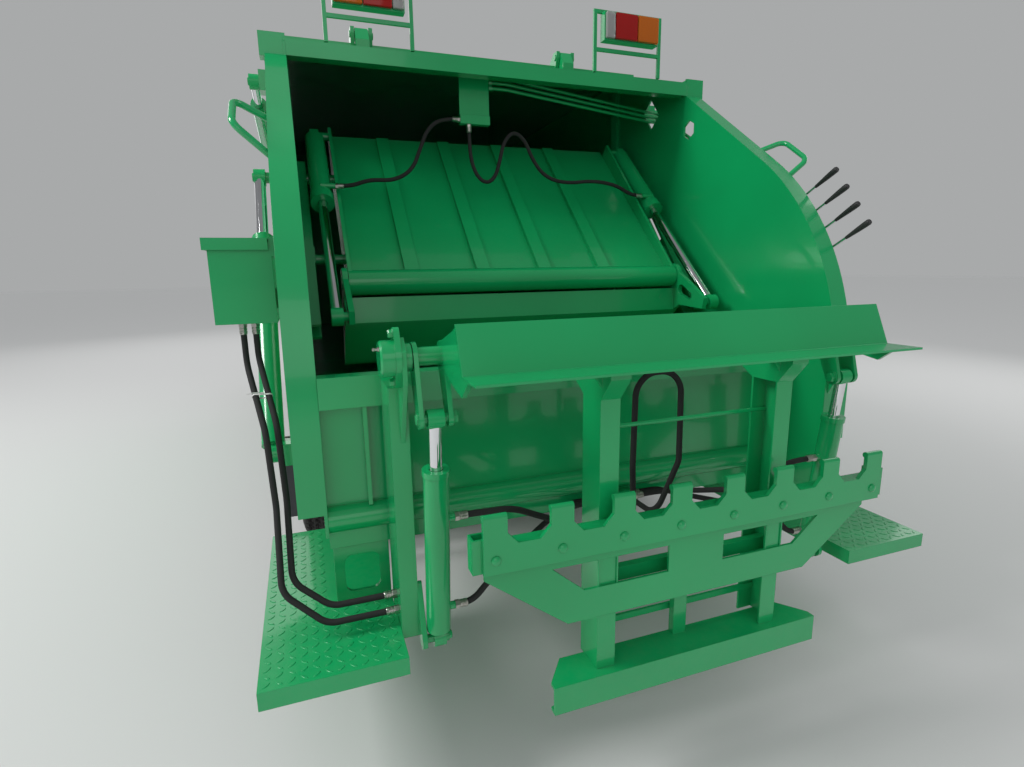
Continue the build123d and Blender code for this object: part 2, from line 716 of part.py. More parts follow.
def dashboard():
    """Dash, seat boxes and the steering wheel."""
    front = CAB_Y1 - CAB_WALL - SEAT
    dash = plate([(6800, 1150), (front, 1150), (front, 1420), (6930, 1450), (6800, 1380)],
                 (-CAB_X + 110, CAB_X - 110))
    boxes = block((-800, -320), (5760, 6220), (CAB_Z0 + 40 + SEAT, 1180 - SEAT))
    boxes += block((-90, 750), (5760, 6220), (1100 + SEAT, 1180 - SEAT))
    boxes += block((282, 750), (5760, 6220), (CAB_Z0 + 40 + SEAT, 1102))
    return dash + boxes + steering_wheel()


def cab_trim():
    """Grille panel and headlamps on the nose."""
    grille = block((-560, 560), (CAB_Y1 + SEAT, CAB_Y1 + 16), (980, 1240))
    for row in range(4):
        grille -= block((-520, 520), (CAB_Y1 + 6, CAB_Y1 + 20), (1005 + row * 56, 1037 + row * 56))
    lamp = both(block((600, 860), (CAB_Y1 + SEAT, CAB_Y1 + 30), (800, 950)))
    return grille + lamp


def mirrors():
    high = bar((CAB_X + SEAT, 6880, 1890), (1150, 6880, 1890), 10)
    low = bar((CAB_X + SEAT, 6880, 1400), (1150, 6880, 1400), 10)
    post = bar((1140, 6880, 1380), (1140, 6880, 1910), 10)
    face = fillet(block((1050, MIRROR_X), (6888, 6925), (1480, 1820)).edges().filter_by(Axis.Y), 20)
    return both(high + low + post + face)


# Tailgate

def edge_path(inset, top_y):
    """Rear edge of the side wall: upright, then a large arc, then a straight slope to the beam."""
    start = polar(EDGE_CENTRE, EDGE_R - inset, 180)
    turn_mid = polar(EDGE_CENTRE, EDGE_R - inset, 180 - EDGE_TURN / 2)
    turn_end = polar(EDGE_CENTRE, EDGE_R - inset, 180 - EDGE_TURN)
    slope = radians(90 - EDGE_TURN)
    run = top_y - turn_end[0]
    end = (top_y, turn_end[1] + run * sin(slope) / cos(slope))
    return start, turn_mid, turn_end, end


def ramp_points():
    """Under side of the hopper: flat belly, packing arc and the ramp up to the floor."""
    radius = BLADE_R + BLADE_GAP
    low = polar(LOW_HINGE, radius, 270)
    middle = polar(LOW_HINGE, radius, 270 + (90 - SLIDE_LEAN) / 2 + 2)
    end = polar(LOW_HINGE, radius, 360 - SLIDE_LEAN)
    rise = FLOOR_Z1 - end[1]
    top = (end[0] + rise * sin(radians(SLIDE_LEAN)) / cos(radians(SLIDE_LEAN)), FLOOR_Z1)
    return low, middle, end, top


def side_wall():
    start, mid, end, top = edge_path(0, BEAM_Y)
    roof_rear = (ROOF_REAR[0], ROOF_REAR[1] - SEAT)
    roof_front = (ROOF_FRONT[0], ROOF_FRONT[1] - SEAT)
    edges = [
        Line((EDGE_Y, WALL_Z0), start),
        ThreePointArc(start, mid, end),
        Line(end, top),
        Line(top, roof_rear),
        Line(roof_rear, roof_front),
        Line(roof_front, (GATE_Y1, FLOOR_Z0)),
        Line((GATE_Y1, FLOOR_Z0), (1600, FLOOR_Z0 - 20)),
        Line((1600, FLOOR_Z0 - 20), (1440, 800)),
        Line((1440, 800), (1130, WALL_Z0)),
        Line((1130, WALL_Z0), (EDGE_Y, WALL_Z0)),
    ]
    sheet = plate(edges, (WALL_X, WALL_X + WALL_T))
    slot_low = along(TOP_SHOE, SLIDE_LEAN, -STROKE - 35)
    slot_high = along(TOP_SHOE, SLIDE_LEAN, 30)
    sheet -= strip(slot_low, slot_high, 36, (WALL_X - 1, WALL_X + WALL_T + 1))
    hexagon = [polar((1449, 2126), 46, 60 * i + 30) for i in range(6)]
    sheet -= plate(hexagon, (WALL_X - 1, WALL_X + WALL_T + 1))
    diamond = [(1720, 2262), (1794, 2200), (1870, 2297), (1803, 2359)]
    return sheet - plate(diamond, (WALL_X - 1, WALL_X + WALL_T + 1))


def edge_post():
    """Box post that follows the rear edge outside the wall."""
    a, b, c, d = edge_path(0, BEAM_Y)
    e, f, g, h = edge_path(POST_D, BEAM_Y)
    edges = [
        Line((EDGE_Y, WALL_Z0 + 70), a), ThreePointArc(a, b, c), Line(c, d), Line(d, h),
        Line(h, g), ThreePointArc(g, f, e), Line(e, (EDGE_Y + POST_D, WALL_Z0 + 70)),
        Line((EDGE_Y + POST_D, WALL_Z0 + 70), (EDGE_Y, WALL_Z0 + 70)),
    ]
    return plate(edges, (WALL_X, POST_X1))


def guide_rails():
    """Two strips inside the wall that guide the carriage's shoes."""
    gap = SHOE_W / 2 + 2
    low = along(LOW_SHOE, SLIDE_LEAN, -STROKE - 60)
    high = along(TOP_SHOE, SLIDE_LEAN, 60)
    across_y, across_z = cos(radians(SLIDE_LEAN)), -sin(radians(SLIDE_LEAN))
    rails = None
    for side in (-1, 1):
        shift = side * (gap + 8)
        a = (low[0] + shift * across_y, low[1] + shift * across_z)
        b = (high[0] + shift * across_y, high[1] + shift * across_z)
        rail = strip(a, b, 8, (WALL_X - 45, WALL_X + 1))
        rails = rail if rails is None else rails + rail
    return rails


def grab_handle():
    path = FilletPolyline((POST_X1 - 5, 1040, 1950), (POST_X1 + 95, 990, 1990), (POST_X1 + 95, 850, 1890),
                          (POST_X1 - 5, 870, 1805), radius=40)
    return sweep(Plane(origin=path @ 0, z_dir=path % 0) * Circle(11), path=path)


def tailgate_walls():
    return both(side_wall() + edge_post() + guide_rails() + grab_handle())


def hopper_trough():
    """Bottom of the hopper: sill rail, rear panel, belly, packing arc and ramp."""
    low, middle, end, top = ramp_points()
    t = SHEET
    inner = [(PANEL_Y, SILL_Z - 20), (PANEL_Y, low[1] + 60), (PANEL_Y + 60, low[1]), low]
    outer_low = (low[0], low[1] - t)
    outer_mid = polar(LOW_HINGE, BLADE_R + BLADE_GAP + t, 270 + (90 - SLIDE_LEAN) / 2 + 2)
    outer_end = polar(LOW_HINGE, BLADE_R + BLADE_GAP + t, 360 - SLIDE_LEAN)
    floor_low = FLOOR_Z1 - 2 * t
    drop = floor_low - outer_end[1]
    outer_top = (outer_end[0] + drop * sin(radians(SLIDE_LEAN)) / cos(radians(SLIDE_LEAN)), floor_low)
    edges = [
        Line(inner[0], inner[1]), Line(inner[1], inner[2]), Line(inner[2], inner[3]),
        ThreePointArc(low, middle, end), Line(end, top), Line(top, (GATE_Y1, FLOOR_Z1)),
        Line((GATE_Y1, FLOOR_Z1), (GATE_Y1, floor_low)), Line((GATE_Y1, floor_low), outer_top),
        Line(outer_top, outer_end), ThreePointArc(outer_end, outer_mid, outer_low),
        Line(outer_low, (PANEL_Y + 55, low[1] - t)),
        Line((PANEL_Y + 55, low[1] - t), (PANEL_Y - t, low[1] + 55)),
        Line((PANEL_Y - t, low[1] + 55), (PANEL_Y - t, SILL_Z - 20)),
        Line((PANEL_Y - t, SILL_Z - 20), inner[0]),
    ]
    reach = WALL_X - SEAT
    trough = plate(edges, (-reach, reach))
    sill = block((-reach, reach), (EDGE_Y, EDGE_Y + SILL_D), (SILL_Z - SILL_H, SILL_Z))
    tube = cross(EDGE_Y + BOTTOM_TUBE_R, WALL_Z0 + 40, (-reach, reach), BOTTOM_TUBE_R)
    box = block((-reach, reach), (EDGE_Y + 30, EDGE_Y + 100), (WALL_Z0 - 50, WALL_Z0 + 22))
    fins = both(block((820, 832), (EDGE_Y + 10, PANEL_Y), (770, SILL_Z - SILL_H + 1)))
    return trough + sill + tube + box + fins


def tailgate_frame():
    """Front ring of the tailgate, its roof plate and the rear top beam."""
    x1, x0 = BODY_X + 50, WALL_X + WALL_T + SEAT
    y = (GATE_Y1 + SEAT, GATE_Y1 + RING_D)
    ring = block((-x1, x1), y, (FLOOR_Z0 - 30, ROOF_Z0))
    ring -= block((-WALL_X, WALL_X), (y[0] - 1, y[1] + 1), (FLOOR_Z1, ROOF_Z0 - 40))
    reach = WALL_X + WALL_T
    low, high = ROOF_REAR, ROOF_FRONT
    roof = plate([low, high, (y[0] + 1, high[1]), (y[0] + 1, high[1] + SHEET), (high[0], high[1] + SHEET),
                  (low[0], low[1] + SHEET)], (-reach, reach))
    inside = WALL_X - SEAT
    beam = block((-inside, inside), (BEAM_Y, BEAM_Y + BEAM_D), (BEAM_Z, BEAM_Z + BEAM_H + 2))
    cap_y = (BEAM_Y + SEAT, BEAM_Y + BEAM_D)
    caps = both(block((reach + SEAT, 1050), cap_y, (BEAM_Z - 10, BEAM_Z + 80))
                + block((reach - 10, 1050), (BEAM_Y + SEAT, BEAM_Y + 12), (low[1] + 5, BEAM_Z + 80)))
    tongue = plate([(y[1] - 60, ROOF_Z0 - 1), (y[1], ROOF_Z0 - 1), (y[1], HINGE_Z - 26),
                    (HINGE_Y + 20, HINGE_Z - 26), (HINGE_Y + 24, HINGE_Z + 24), (HINGE_Y - 24, HINGE_Z + 24),
                    (y[1] - 60, ROOF_Z0 + 40)], (542, 608))
    tongue -= cross(HINGE_Y, HINGE_Z, (541, 609), 16.5)
    ly, lz = LIFT_EAR_Y, LIFT_EAR_Z
    ear = block((reach + SEAT, LIFT_X - 22 - SEAT), (ly - 45, ly + 45), (lz - 45, lz + 45))
    ear_arm = block((reach + SEAT, x1), (ly, y[0] + 1), (lz - 40, lz + 40))
    hose_block = block((-205, -60), (1612, 1648), (2120, 2160)) + block((-205, -60), (1624, 1636), (2159, 2400))
    return ring + roof + beam + caps + both(tongue) + both(ear + ear_arm) + hose_block


def lamp_frames():
    """Two flat-bar frames above the top beam, each with a lamp cluster in its upper half."""
    z0, z1 = BEAM_Z + 72, 2640
    frame = block((430, 800), (1500, 1512), (z0, z1)) - block((446, 784), (1499, 1513), (z0 - 1, z1 - 16))
    frame += block((440, 790), (1500, 1512), (2460, 2476))
    lamp = block((470, 760), (1470, 1512), (2500, z1 - 15))
    return both(frame + lamp)


def step_screen(y):
    """Upright plate between the hopper's lower box and a standing plate, with a rounded window."""
    x0, x1 = STEP_X0, 942
    outline = block((x0, x1), (y, y + 12), (STEP_Z - 1, WALL_Z0 - 50 - SEAT))
    window = Plane.XZ.offset(-y + 1) * (Pos((x0 + x1) / 2, 545) * RectangleRounded(104, 120, 25))
    return outline - extrude(window, amount=-14)


def foot_plates():
    """Standing plates on both sides and the plates and flat bars that hang them from the hopper."""
    top = block((STEP_X0, STEP_X1), (STEP_Y0, STEP_Y1), (STEP_Z - 5, STEP_Z))
    rim_edge = block((STEP_X0, STEP_X1), (STEP_Y0, STEP_Y1), (STEP_Z - STEP_H, STEP_Z))
    rim_edge -= block((STEP_X0 + 6, STEP_X1 - 6), (STEP_Y0 + 6, STEP_Y1 - 6),
                      (STEP_Z - STEP_H - 1, STEP_Z - 5))
    hangers = step_screen(EDGE_Y + 40) + block((800, 942), (1000, 1012), (STEP_Z - 1, 630))
    for y in (EDGE_Y + 40, 1000):
        hangers += block((930, 942), (y, y + 60), (STEP_Z - 1, WALL_Z0 - 50 - SEAT))
    tie = block((920, WALL_X + WALL_T), (980, 1070), (WALL_Z0 - 50 - SEAT, WALL_Z0 - SEAT))
    return both(top + rim_edge + hangers + tie)


def lifter_bearing():
    """Bearing of the lifter's shaft on the right column: bracket, lobed flange, seal ring and cap."""
    x, wall = COLUMN_X0, EDGE_Y - SEAT
    bracket = plate([(COLUMN_Y0 + 5, 990), (PIVOT_Y - 46, PIVOT_Z - 60), (PIVOT_Y - 46, PIVOT_Z + 20),
                     (PIVOT_Y - 12, PIVOT_Z + 52), (PIVOT_Y + 40, PIVOT_Z + 46), (wall, COLUMN_Z1 - 10),
                     (wall, 990)], (x + 12, x + 24))
    flange = hull_plate([(PIVOT_Y, PIVOT_Z, 50), (PIVOT_Y - 8, PIVOT_Z + 62, 16),
                         (PIVOT_Y + 8, PIVOT_Z - 62, 16)], (x + 23, x + 38))
    seal = cross(PIVOT_Y, PIVOT_Z, (x - 4, x + 13), 36)
    cap = chamfer(cross(PIVOT_Y, PIVOT_Z, (x + 37, x + 74), 46).edges().sort_by(Axis.X)[-1], 5)
    return bracket + flange + seal + cap - cross(PIVOT_Y, PIVOT_Z, (x - 10, x + 41), SHAFT_R + 0.4)


def lifter_columns():
    """Fixed columns behind the hopper: lifter bearings, cylinder lugs and the hose block."""
    x0, x1 = COLUMN_X0, COLUMN_X0 + COLUMN_W
    column = block((x0, x1), (COLUMN_Y0, EDGE_Y - SEAT), (COLUMN_Z0, COLUMN_Z1))
    lug = hull_plate([(CYL_BASE_Y, CYL_BASE_Z, 26), (COLUMN_Y0 + 14, COLUMN_Z0 + 150, 10),
                      (COLUMN_Y0 + 14, COLUMN_Z0 + 14, 14)], (x0 - 13, x0 + 1))
    knob = LIFTER_CYL_X - 17 - SEAT
    pin = cross(CYL_BASE_Y, CYL_BASE_Z, (knob - 8, x0 - 12), 12)
    head = cross(CYL_BASE_Y, CYL_BASE_Z, (knob - 8, knob), 17)
    hose_block = block((-60, 60), (EDGE_Y - 20, EDGE_Y + 30 - SEAT), (WALL_Z0 - 42, WALL_Z0 - 4))
    return both(column + lifter_bearing() + lug + pin + head) + hose_block


def lifter_port(distance):
    """(Y, Z) of a port some way up a lifter cylinder from its base pin."""
    run, rise = CRANK_Y - CYL_BASE_Y, CRANK_Z - CYL_BASE_Z
    share = distance / hypot(run, rise)
    return CYL_BASE_Y + run * share, CYL_BASE_Z + rise * share


def lifter_hoses():
    """Hoses from the lifter's cylinders to the hose block, and the loop that stands behind the posts."""
    z = WALL_Z0 - 23
    block_y = EDGE_Y - 20
    port_x = LIFTER_CYL_X - PORT_REACH - SEAT
    block_x = 60 + SEAT
    low_port, high_port = lifter_port(PORT_UP[0]), lifter_port(PORT_UP[1])
    upper = hose([(port_x, *high_port), (575, *high_port), (480, 205, 815), (320, 270, 722),
                  (170, block_y + 12, z), (block_x, block_y + 12, z)])
    lower = hose([(port_x, *low_port), (580, *low_port), (480, 280, 620), (300, 420, 640),
                  (170, block_y + 37, z), (block_x, block_y + 37, z)])
    loop = hose([(-40, block_y - SEAT, z), (-40, 300, z), (-80, 250, 860), (-76, 250, 1145),
                 (80, 250, 1145), (84, 250, 860), (40, 300, z), (40, block_y - SEAT, z)])
    return both(upper + lower) + loop


# Bin lifter

def lifter_crank():
    """Two crank plates with their pin stubs, and the ear that carries the deflector's end."""
    half = CRANK_GAP / 2
    eye = 21 + SEAT
    circles = [(PIVOT_Y, PIVOT_Z, 38), (CRANK_Y, CRANK_Z, 24)]
    inner_x = (LIFTER_CYL_X - half - CRANK_T, LIFTER_CYL_X - half)
    outer_x = (LIFTER_CYL_X + half, LIFTER_CYL_X + half + CRANK_T)
    plates = hull_plate(circles, inner_x) + hull_plate(circles, outer_x)
    pins = cross(CRANK_Y, CRANK_Z, (inner_x[1] - 1, LIFTER_CYL_X - eye), 12)
    pins += cross(CRANK_Y, CRANK_Z, (LIFTER_CYL_X + eye, outer_x[0] + 1), 12)
    top = FOLD_Z - SEAT
    ear = plate([(0, top), (50.5, top), (98.5, top + 112), (125, top + 100), (PIVOT_Y, PIVOT_Z + 34),
                 (PIVOT_Y, PIVOT_Z - 34), (60, top - 45)], inner_x)
    return plates + pins + ear


def lifter_post():
    """Right post of the lifter: a channel open to the middle, its head and the gusset under the fold."""
    top, back = FOLD_Z - SEAT, ARM_Y + ARM_D
    x0, x1 = ARM_X, ARM_X + ARM_W
    post = block((x0, x1), (ARM_Y, back), (REST_Z + REST_H - 1, top))
    post -= block((x0 - 1, x1 - 6), (ARM_Y + 6, back - 6), (REST_Z + REST_H - 2, PIVOT_Z - 60))
    head = plate([(0, top), (0, top - 22), (ARM_Y, top - 80), (back, top - 80), (PIVOT_Y + 24, PIVOT_Z - 20),
                  (PIVOT_Y + 24, PIVOT_Z + 18), (PIVOT_Y - 30, PIVOT_Z + 30), (110, top)], (x0, x1))
    gusset = section([(x0 - 32, top), (x1 + 32, top), (x1, top - 48), (x0, top - 48)], (ARM_Y - 6, ARM_Y + 1))
    return post + head + gusset


def lifter_cradle():
    """Plate under the comb with two windows, the stiffener above it and the comb's end brackets."""
    y = CRADLE_Y
    cradle = section([(-COMB_X + 12, 800), (COMB_X - 12, 800), (COMB_X - 12, 715), (392, 548), (-392, 548),
                      (-COMB_X + 12, 715)], (y, y + 8))
    cradle -= both(section([(90, 710), (435, 710), (345, 633), (90, 633)], (y - 10, y + 20)))
    stiff = block((-COMB_X + 12, COMB_X - 12), (COMB_T + SEAT, y + 8), (752, 818))
    bracket = block((COMB_X - 14, COMB_X + 24), (COMB_T + SEAT, y + 12), (752, 838))
    bracket -= block((COMB_X - 15, COMB_X + 18), (COMB_T + 6, y + 6), (819, 839))
    return cradle + stiff + both(bracket)


def lifter_rest():
    """Lower rest bar: a channel with tapered flanges, and the short bars between the posts."""
    z0, z1 = REST_Z, REST_Z + REST_H
    rest = block((-REST_X, REST_X), (20, 28), (z0, z1))
    for depth, z in ((125, (z1 - 8, z1)), (60, (z0, z0 + 8))):
        rest += slab([(-REST_X, 20), (REST_X, 20), (REST_X, 45), (REST_X - 60, depth), (60 - REST_X, depth),
                      (-REST_X, 45)], z)
    reach = ARM_X + ARM_W - 5
    rest += block((-22, 22), (100, 122), (z1 - 1, 601))
    rest += block((-reach, reach), (98, 122), (600, 640))
    rest += block((-reach, reach), (ARM_Y + ARM_D - 12, ARM_Y + ARM_D - 3), (450, 468))
    return rest + cross(ARM_Y + ARM_D - 8, 1032, (-reach, reach), 6)


def lifter_frame():
    """Turning frame of the bin lifter."""
    tube = cross(PIVOT_Y, PIVOT_Z, (-640, 640), PIVOT_R)
    shaft = cross(PIVOT_Y, PIVOT_Z, (630, COLUMN_X0 + 39), SHAFT_R)
    return tube + both(shaft + lifter_crank() + lifter_post()) + lifter_cradle() + lifter_rest()


def lifter_comb():
    """Comb plate whose tabs, each with a rounded tip, catch the rim of a bin."""
    valley = COMB_Z0 + COMB_VALLEY
    peak = valley + TOOTH_H - TIP_R
    first = -TOOTH_PITCH * (TEETH - 1) / 2
    outline = [(-COMB_X, COMB_Z0)]
    tips = None
    for tooth in range(TEETH):
        left = first + tooth * TOOTH_PITCH - TOOTH_W / 2
        right = left + TOOTH_W
        if tooth > 0:
            outline += [(left - 26, valley), (left, valley + 28)]
        outline += [(left, peak), (right, peak)]
        if tooth < TEETH - 1:
            outline += [(right, valley + 28), (right + 26, valley)]
        tip = cross(TIP_R, peak, (left, right), TIP_R)
        tips = tip if tips is None else tips + tip
    outline += [(COMB_X, COMB_Z0)]
    return section(outline, (0, COMB_T)) + tips


def lifter_deflector():
    """Folded sheet above the comb that leads refuse over the sill."""
    top = (100, FOLD_Z + 117)
    outline = [top, (50, FOLD_Z), (Y_REAR, FOLD_Z), (Y_REAR, FOLD_Z + 6), (44, FOLD_Z + 6),
               (top[0] - 7, top[1] + 2)]
    sheet = plate(outline, (-DEFLECTOR_X, DEFLECTOR_X))
    gusset = plate([(52, FOLD_Z), (90, FOLD_Z), (top[0] - 2, top[1] - 4)], (-5, 5))
    for x in (-590, -200, 0, 200, 590):
        sheet += Pos(x, 0, 0) * gusset
    return sheet


# Packer

def panel_ribs():
    """Flat ribs up the packer panel."""
    start, end = along(HINGE, PANEL_LEAN, 48), along(HINGE, PANEL_LEAN, PANEL_L - 20)
    lean = radians(PANEL_LEAN)
    lift = PANEL_RIB_D / 2
    shift = (-cos(lean) * lift, sin(lean) * lift)
    low = (start[0] + shift[0], start[1] + shift[1])
    high = (end[0] + shift[0], end[1] + shift[1])
    ribs = None
    for x in PANEL_RIB_XS:
        rib = strip(low, high, lift, (x - PANEL_RIB_W / 2, x + PANEL_RIB_W / 2))
        ribs = rib if ribs is None else ribs + rib
    return ribs


def carriage_frame():
    """Sliding carriage: hinge tube, ribbed panel, side plates, shoes and cylinder pins."""
    panel = strip(HINGE, PANEL_TOP, PANEL_T / 2, (-TUBE_X + 14, TUBE_X - 14))
    lip_end = (PANEL_TOP[0] + 8, PANEL_TOP[1] - 60)
    lip = strip(PANEL_TOP, lip_end, 6, (-TUBE_X + 14, TUBE_X - 14))
    tube = cross(TUBE_Y, TUBE_Z, (-TUBE_X, TUBE_X), TUBE_R)
    side = plate([(TUBE_Y - 10, TUBE_Z - 40), LOW_SHOE, (TOP_SHOE[0] + 30, TOP_SHOE[1] - 20),
                  (CROSSHEAD[0] + 45, CROSSHEAD[1] - 10), (CROSSHEAD[0], CROSSHEAD[1] + 45),
                  (TUBE_Y - 20, TUBE_Z + 48)], (TUBE_X - 15, TUBE_X))
    low_pin = cross(*LOW_SHOE, (TUBE_X - 2, 905), 22) + strip(
        along(LOW_SHOE, SLIDE_LEAN, -45), along(LOW_SHOE, SLIDE_LEAN, 45), SHOE_W / 2, (900, WALL_X - 2))
    top_pin = cross(*TOP_SHOE, (TUBE_X - 2, SIDE_CYL_X - 25 - SEAT), 25) + strip(
        along(TOP_SHOE, SLIDE_LEAN, -45), along(TOP_SHOE, SLIDE_LEAN, 45), SHOE_W / 2, (905, WALL_X - 2))
    head_pin = cross(*CROSSHEAD, (TUBE_X - 2, BLADE_CYL_X + 26), 20)
    stub = cross(*HINGE, (TUBE_X - 2, TUBE_X + 27), 28)
    return panel + lip + tube + panel_ribs() + both(side + low_pin + top_pin + head_pin + stub)


# Port of a blade cylinder, on the upper rear side of its barrel
PORT = (1618, 1821)


def loose_hose(points):
    """Hose that hangs in bends, each arc as large as its two runs allow."""
    radii = []
    for before, here, after in zip(points, points[1:], points[2:]):
        first, second = Vector(*here) - Vector(*before), Vector(*after) - Vector(*here)
        half_turn = radians(first.get_angle(second) / 2)
        radii.append(0.45 * min(first.length, second.length) * cos(half_turn) / sin(half_turn))
    path = FilletPolyline(*points, radius=radii)
    return sweep(Plane(origin=path @ 0, z_dir=path % 0) * Circle(HOSE_R), path=path)


def packer_hoses():
    """Hoses that hang before the packer panel, from the block under the roof to the blade cylinders."""
    port_x = BLADE_CYL_X - 60 - SEAT
    left = [(-205 - SEAT, 1630, 2140), (-290, 1630, 2140), (-365, 1616, 2085), (-405, 1606, 1990),
            (-445, 1600, 1900), (-530, 1600, 1850), (-640, 1604, 1852), (-725, 1618, 1821),
            (-port_x, *PORT)]
    right = [(-160, 1630, 2120 - SEAT), (-160, 1630, 2035), (-158, 1612, 1950), (-132, 1602, 1880),
             (-86, 1600, 1852), (-42, 1600, 1884), (-18, 1600, 1960), (2, 1600, 2045), (52, 1600, 2098),
             (112, 1600, 2062), (150, 1600, 1975), (215, 1600, 1895), (330, 1600, 1866), (490, 1600, 1886),
             (630, 1604, 1868), (725, 1618, 1821), (port_x, *PORT)]
    return loose_hose(left) + loose_hose(right)


def packer_blade():
    """Hinged blade under the carriage, with its side arms and cylinder ears."""
    y, z = HINGE
    fold = (y - 25, z - 165)
    tip = polar(HINGE, BLADE_R, -60)
    outline = [(y - 15, z - 60), fold, (tip[0] - 18, tip[1] + 10), tip, (tip[0] - 4, tip[1] + 25),
               (fold[0] + BLADE_T, fold[1] + 14), (y + 12, z - 60)]
    sheet = plate(outline, (-TUBE_X - 3, TUBE_X + 3))
    x = (TUBE_X + 3, TUBE_X + 25)
    arm = plate([(y + 45, z + 25), (y - 5, z + 50), (EAR[0] - 30, EAR[1] + 20), (EAR[0] - 20, EAR[1] - 30),
                 (y - 70, z - 140), fold, (tip[0] - 18, tip[1] + 10), tip, (y + 100, z - 120)], x)
    arm -= hull_plate([(y - 85, z - 65, 24), (y - 150, z - 93, 18)], (x[0] - 1, x[1] + 1))
    arm -= cross(y, z, (TUBE_X, TUBE_X + 30), 28.5)
    boss = pipe((x[0], y, z), (x[1], y, z), 62, 28.5)
    return sheet + both(arm + boss)


def cylinder_barrel(base, eye, x, radius, length, rod_r, eye_w, pin_r, gland=(45, 5)):
    """Barrel from its base pin towards the eye, bored for the rod, with a gland nut at its mouth."""
    direction = Vector(0, eye[0] - base[0], eye[1] - base[1]).normalized()
    start = Vector(x, *base) + direction * 30
    end = Vector(x, *base) + direction * length
    body = bar(start, end, radius) + bar(end - direction * gland[0], end, radius + gland[1])
    body -= bar(start + direction * 40, end + direction, rod_r + RUN)
    knob = cross(*base, (x - eye_w / 2, x + eye_w / 2), pin_r + 14)
    neck = bar(Vector(x, *base) + direction * (pin_r + 2), start + direction * 2, eye_w / 2 - 1)
    return body + knob + neck - cross(*base, (x - eye_w, x + eye_w), pin_r + 0.3)


def cylinder_rod(base, eye, x, rod_r, inside, eye_w, eye_r, pin_to=None):
    """Rod from inside the barrel out to its eye, with a pin out of one side where pin_to says how far."""
    direction = Vector(0, eye[0] - base[0], eye[1] - base[1]).normalized()
    start = Vector(x, *base) + direction * inside
    rod = bar(start, Vector(x, *eye) - direction * eye_r * 0.6, rod_r)
    knob = cross(*eye, (x - eye_w / 2, x + eye_w / 2), eye_r)
    if pin_to is None:
        return rod + knob
    face = x + eye_w / 2 if pin_to > x else x - eye_w / 2
    return rod + knob + cross(*eye, (min(face, pin_to), max(face, pin_to)), eye_r * 0.5)


SIDE_CYL_LOW = along(TOP_SHOE, SLIDE_LEAN, -1400)


def carriage_barrels():
    """Outside cylinders that drive the carriage, each with its foot on the wall."""
    body = cylinder_barrel(SIDE_CYL_LOW, TOP_SHOE, SIDE_CYL_X, SIDE_CYL_R, 1020, 24, 46, 20)
    y, z = SIDE_CYL_LOW
    foot = block((WALL_X + WALL_T + SEAT, SIDE_CYL_X - 23), (y - 40, y + 40), (z - 40, z + 40))
    pin = cross(y, z, (SIDE_CYL_X - 24, SIDE_CYL_X + 23), 20.3)
    top = along(TOP_SHOE, SLIDE_LEAN, -430)
    clamp_x = (WALL_X + WALL_T + SEAT, SIDE_CYL_X - 30)
    clamp = block(clamp_x, (top[0] - 25, top[0] + 25), (top[1] - 25, top[1] + 25))
    return both(body + foot + pin + clamp)


def carriage_rods():
    inside = 1400 - 430 - STROKE - 60
    rod = cylinder_rod(SIDE_CYL_LOW, TOP_SHOE, SIDE_CYL_X, 24, inside, 50, 38, SIDE_CYL_X + 32)
    return both(rod)


def blade_barrels():
    barrel = cylinder_barrel(CROSSHEAD, EAR, BLADE_CYL_X, 46, 530, 20, 40, 20)
    return both(barrel + cross(*PORT, (BLADE_CYL_X - 60, BLADE_CYL_X + 4), 12))


def blade_rods():
    pin_to = TUBE_X + 25 + SEAT
    return both(cylinder_rod(CROSSHEAD, EAR, BLADE_CYL_X, 20, 380, 44, 34, pin_to))


def lift_barrels():
    base, eye = (LIFT_BASE_Y, LIFT_BASE_Z), (LIFT_EAR_Y, LIFT_EAR_Z)
    return both(cylinder_barrel(base, eye, LIFT_X, LIFT_R, 760, 20, 40, 20))


def lift_rods():
    base, eye = (LIFT_BASE_Y, LIFT_BASE_Z), (LIFT_EAR_Y, LIFT_EAR_Z)
    return both(cylinder_rod(base, eye, LIFT_X, 20, 400, 44, 34, LIFT_X + 28))


def lifter_barrels():
    base, eye = (CYL_BASE_Y, CYL_BASE_Z), (CRANK_Y, CRANK_Z)
    barrel = cylinder_barrel(base, eye, LIFTER_CYL_X, LIFTER_CYL_R, 525, LIFTER_ROD_R, 34, 12, (16, 3))
    for distance in PORT_UP:
        port_x = (LIFTER_CYL_X - PORT_REACH, LIFTER_CYL_X - LIFTER_CYL_R + 5)
        barrel += cross(*lifter_port(distance), port_x, PORT_R)
    return both(barrel)


def lifter_rods():
    """Rods whose eyes sit between the crank plates, without pins of their own."""
    base, eye = (CYL_BASE_Y, CYL_BASE_Z), (CRANK_Y, CRANK_Z)
    return both(cylinder_rod(base, eye, LIFTER_CYL_X, LIFTER_ROD_R, 90, 42, 24))


def ejector():
    """Push plate that clears the container: sloped face on a braced frame."""
    reach = WALL_X - 30
    face = plate([(4500, FLOOR_Z1 + 6), (4530, FLOOR_Z1 + 6), (4530, 1500), (4760, ROOF_Z0 - 60),
                  (4730, ROOF_Z0 - 60), (4500, 1510)], (-reach, reach))
    web = plate([(4529, FLOOR_Z1 + 6), (4999, FLOOR_Z1 + 6), (4999, FLOOR_Z1 + 90), (4750, ROOF_Z0 - 80),
                 (4529, 1500)], (-12, 12))
    frame = Pos(-600, 0, 0) * web + Pos(600, 0, 0) * web + web
    foot = block((-reach, reach), (4900, 5000), (FLOOR_Z1 + SEAT, FLOOR_Z1 + 80))
    return face + frame + foot


# Control box and levers

def lid_bar(y, radius):
    """Round bar on the lid's hinge line."""
    return bar((LID_HINGE_X, y[0], LID_HINGE_Z), (LID_HINGE_X, y[1], LID_HINGE_Z), radius)


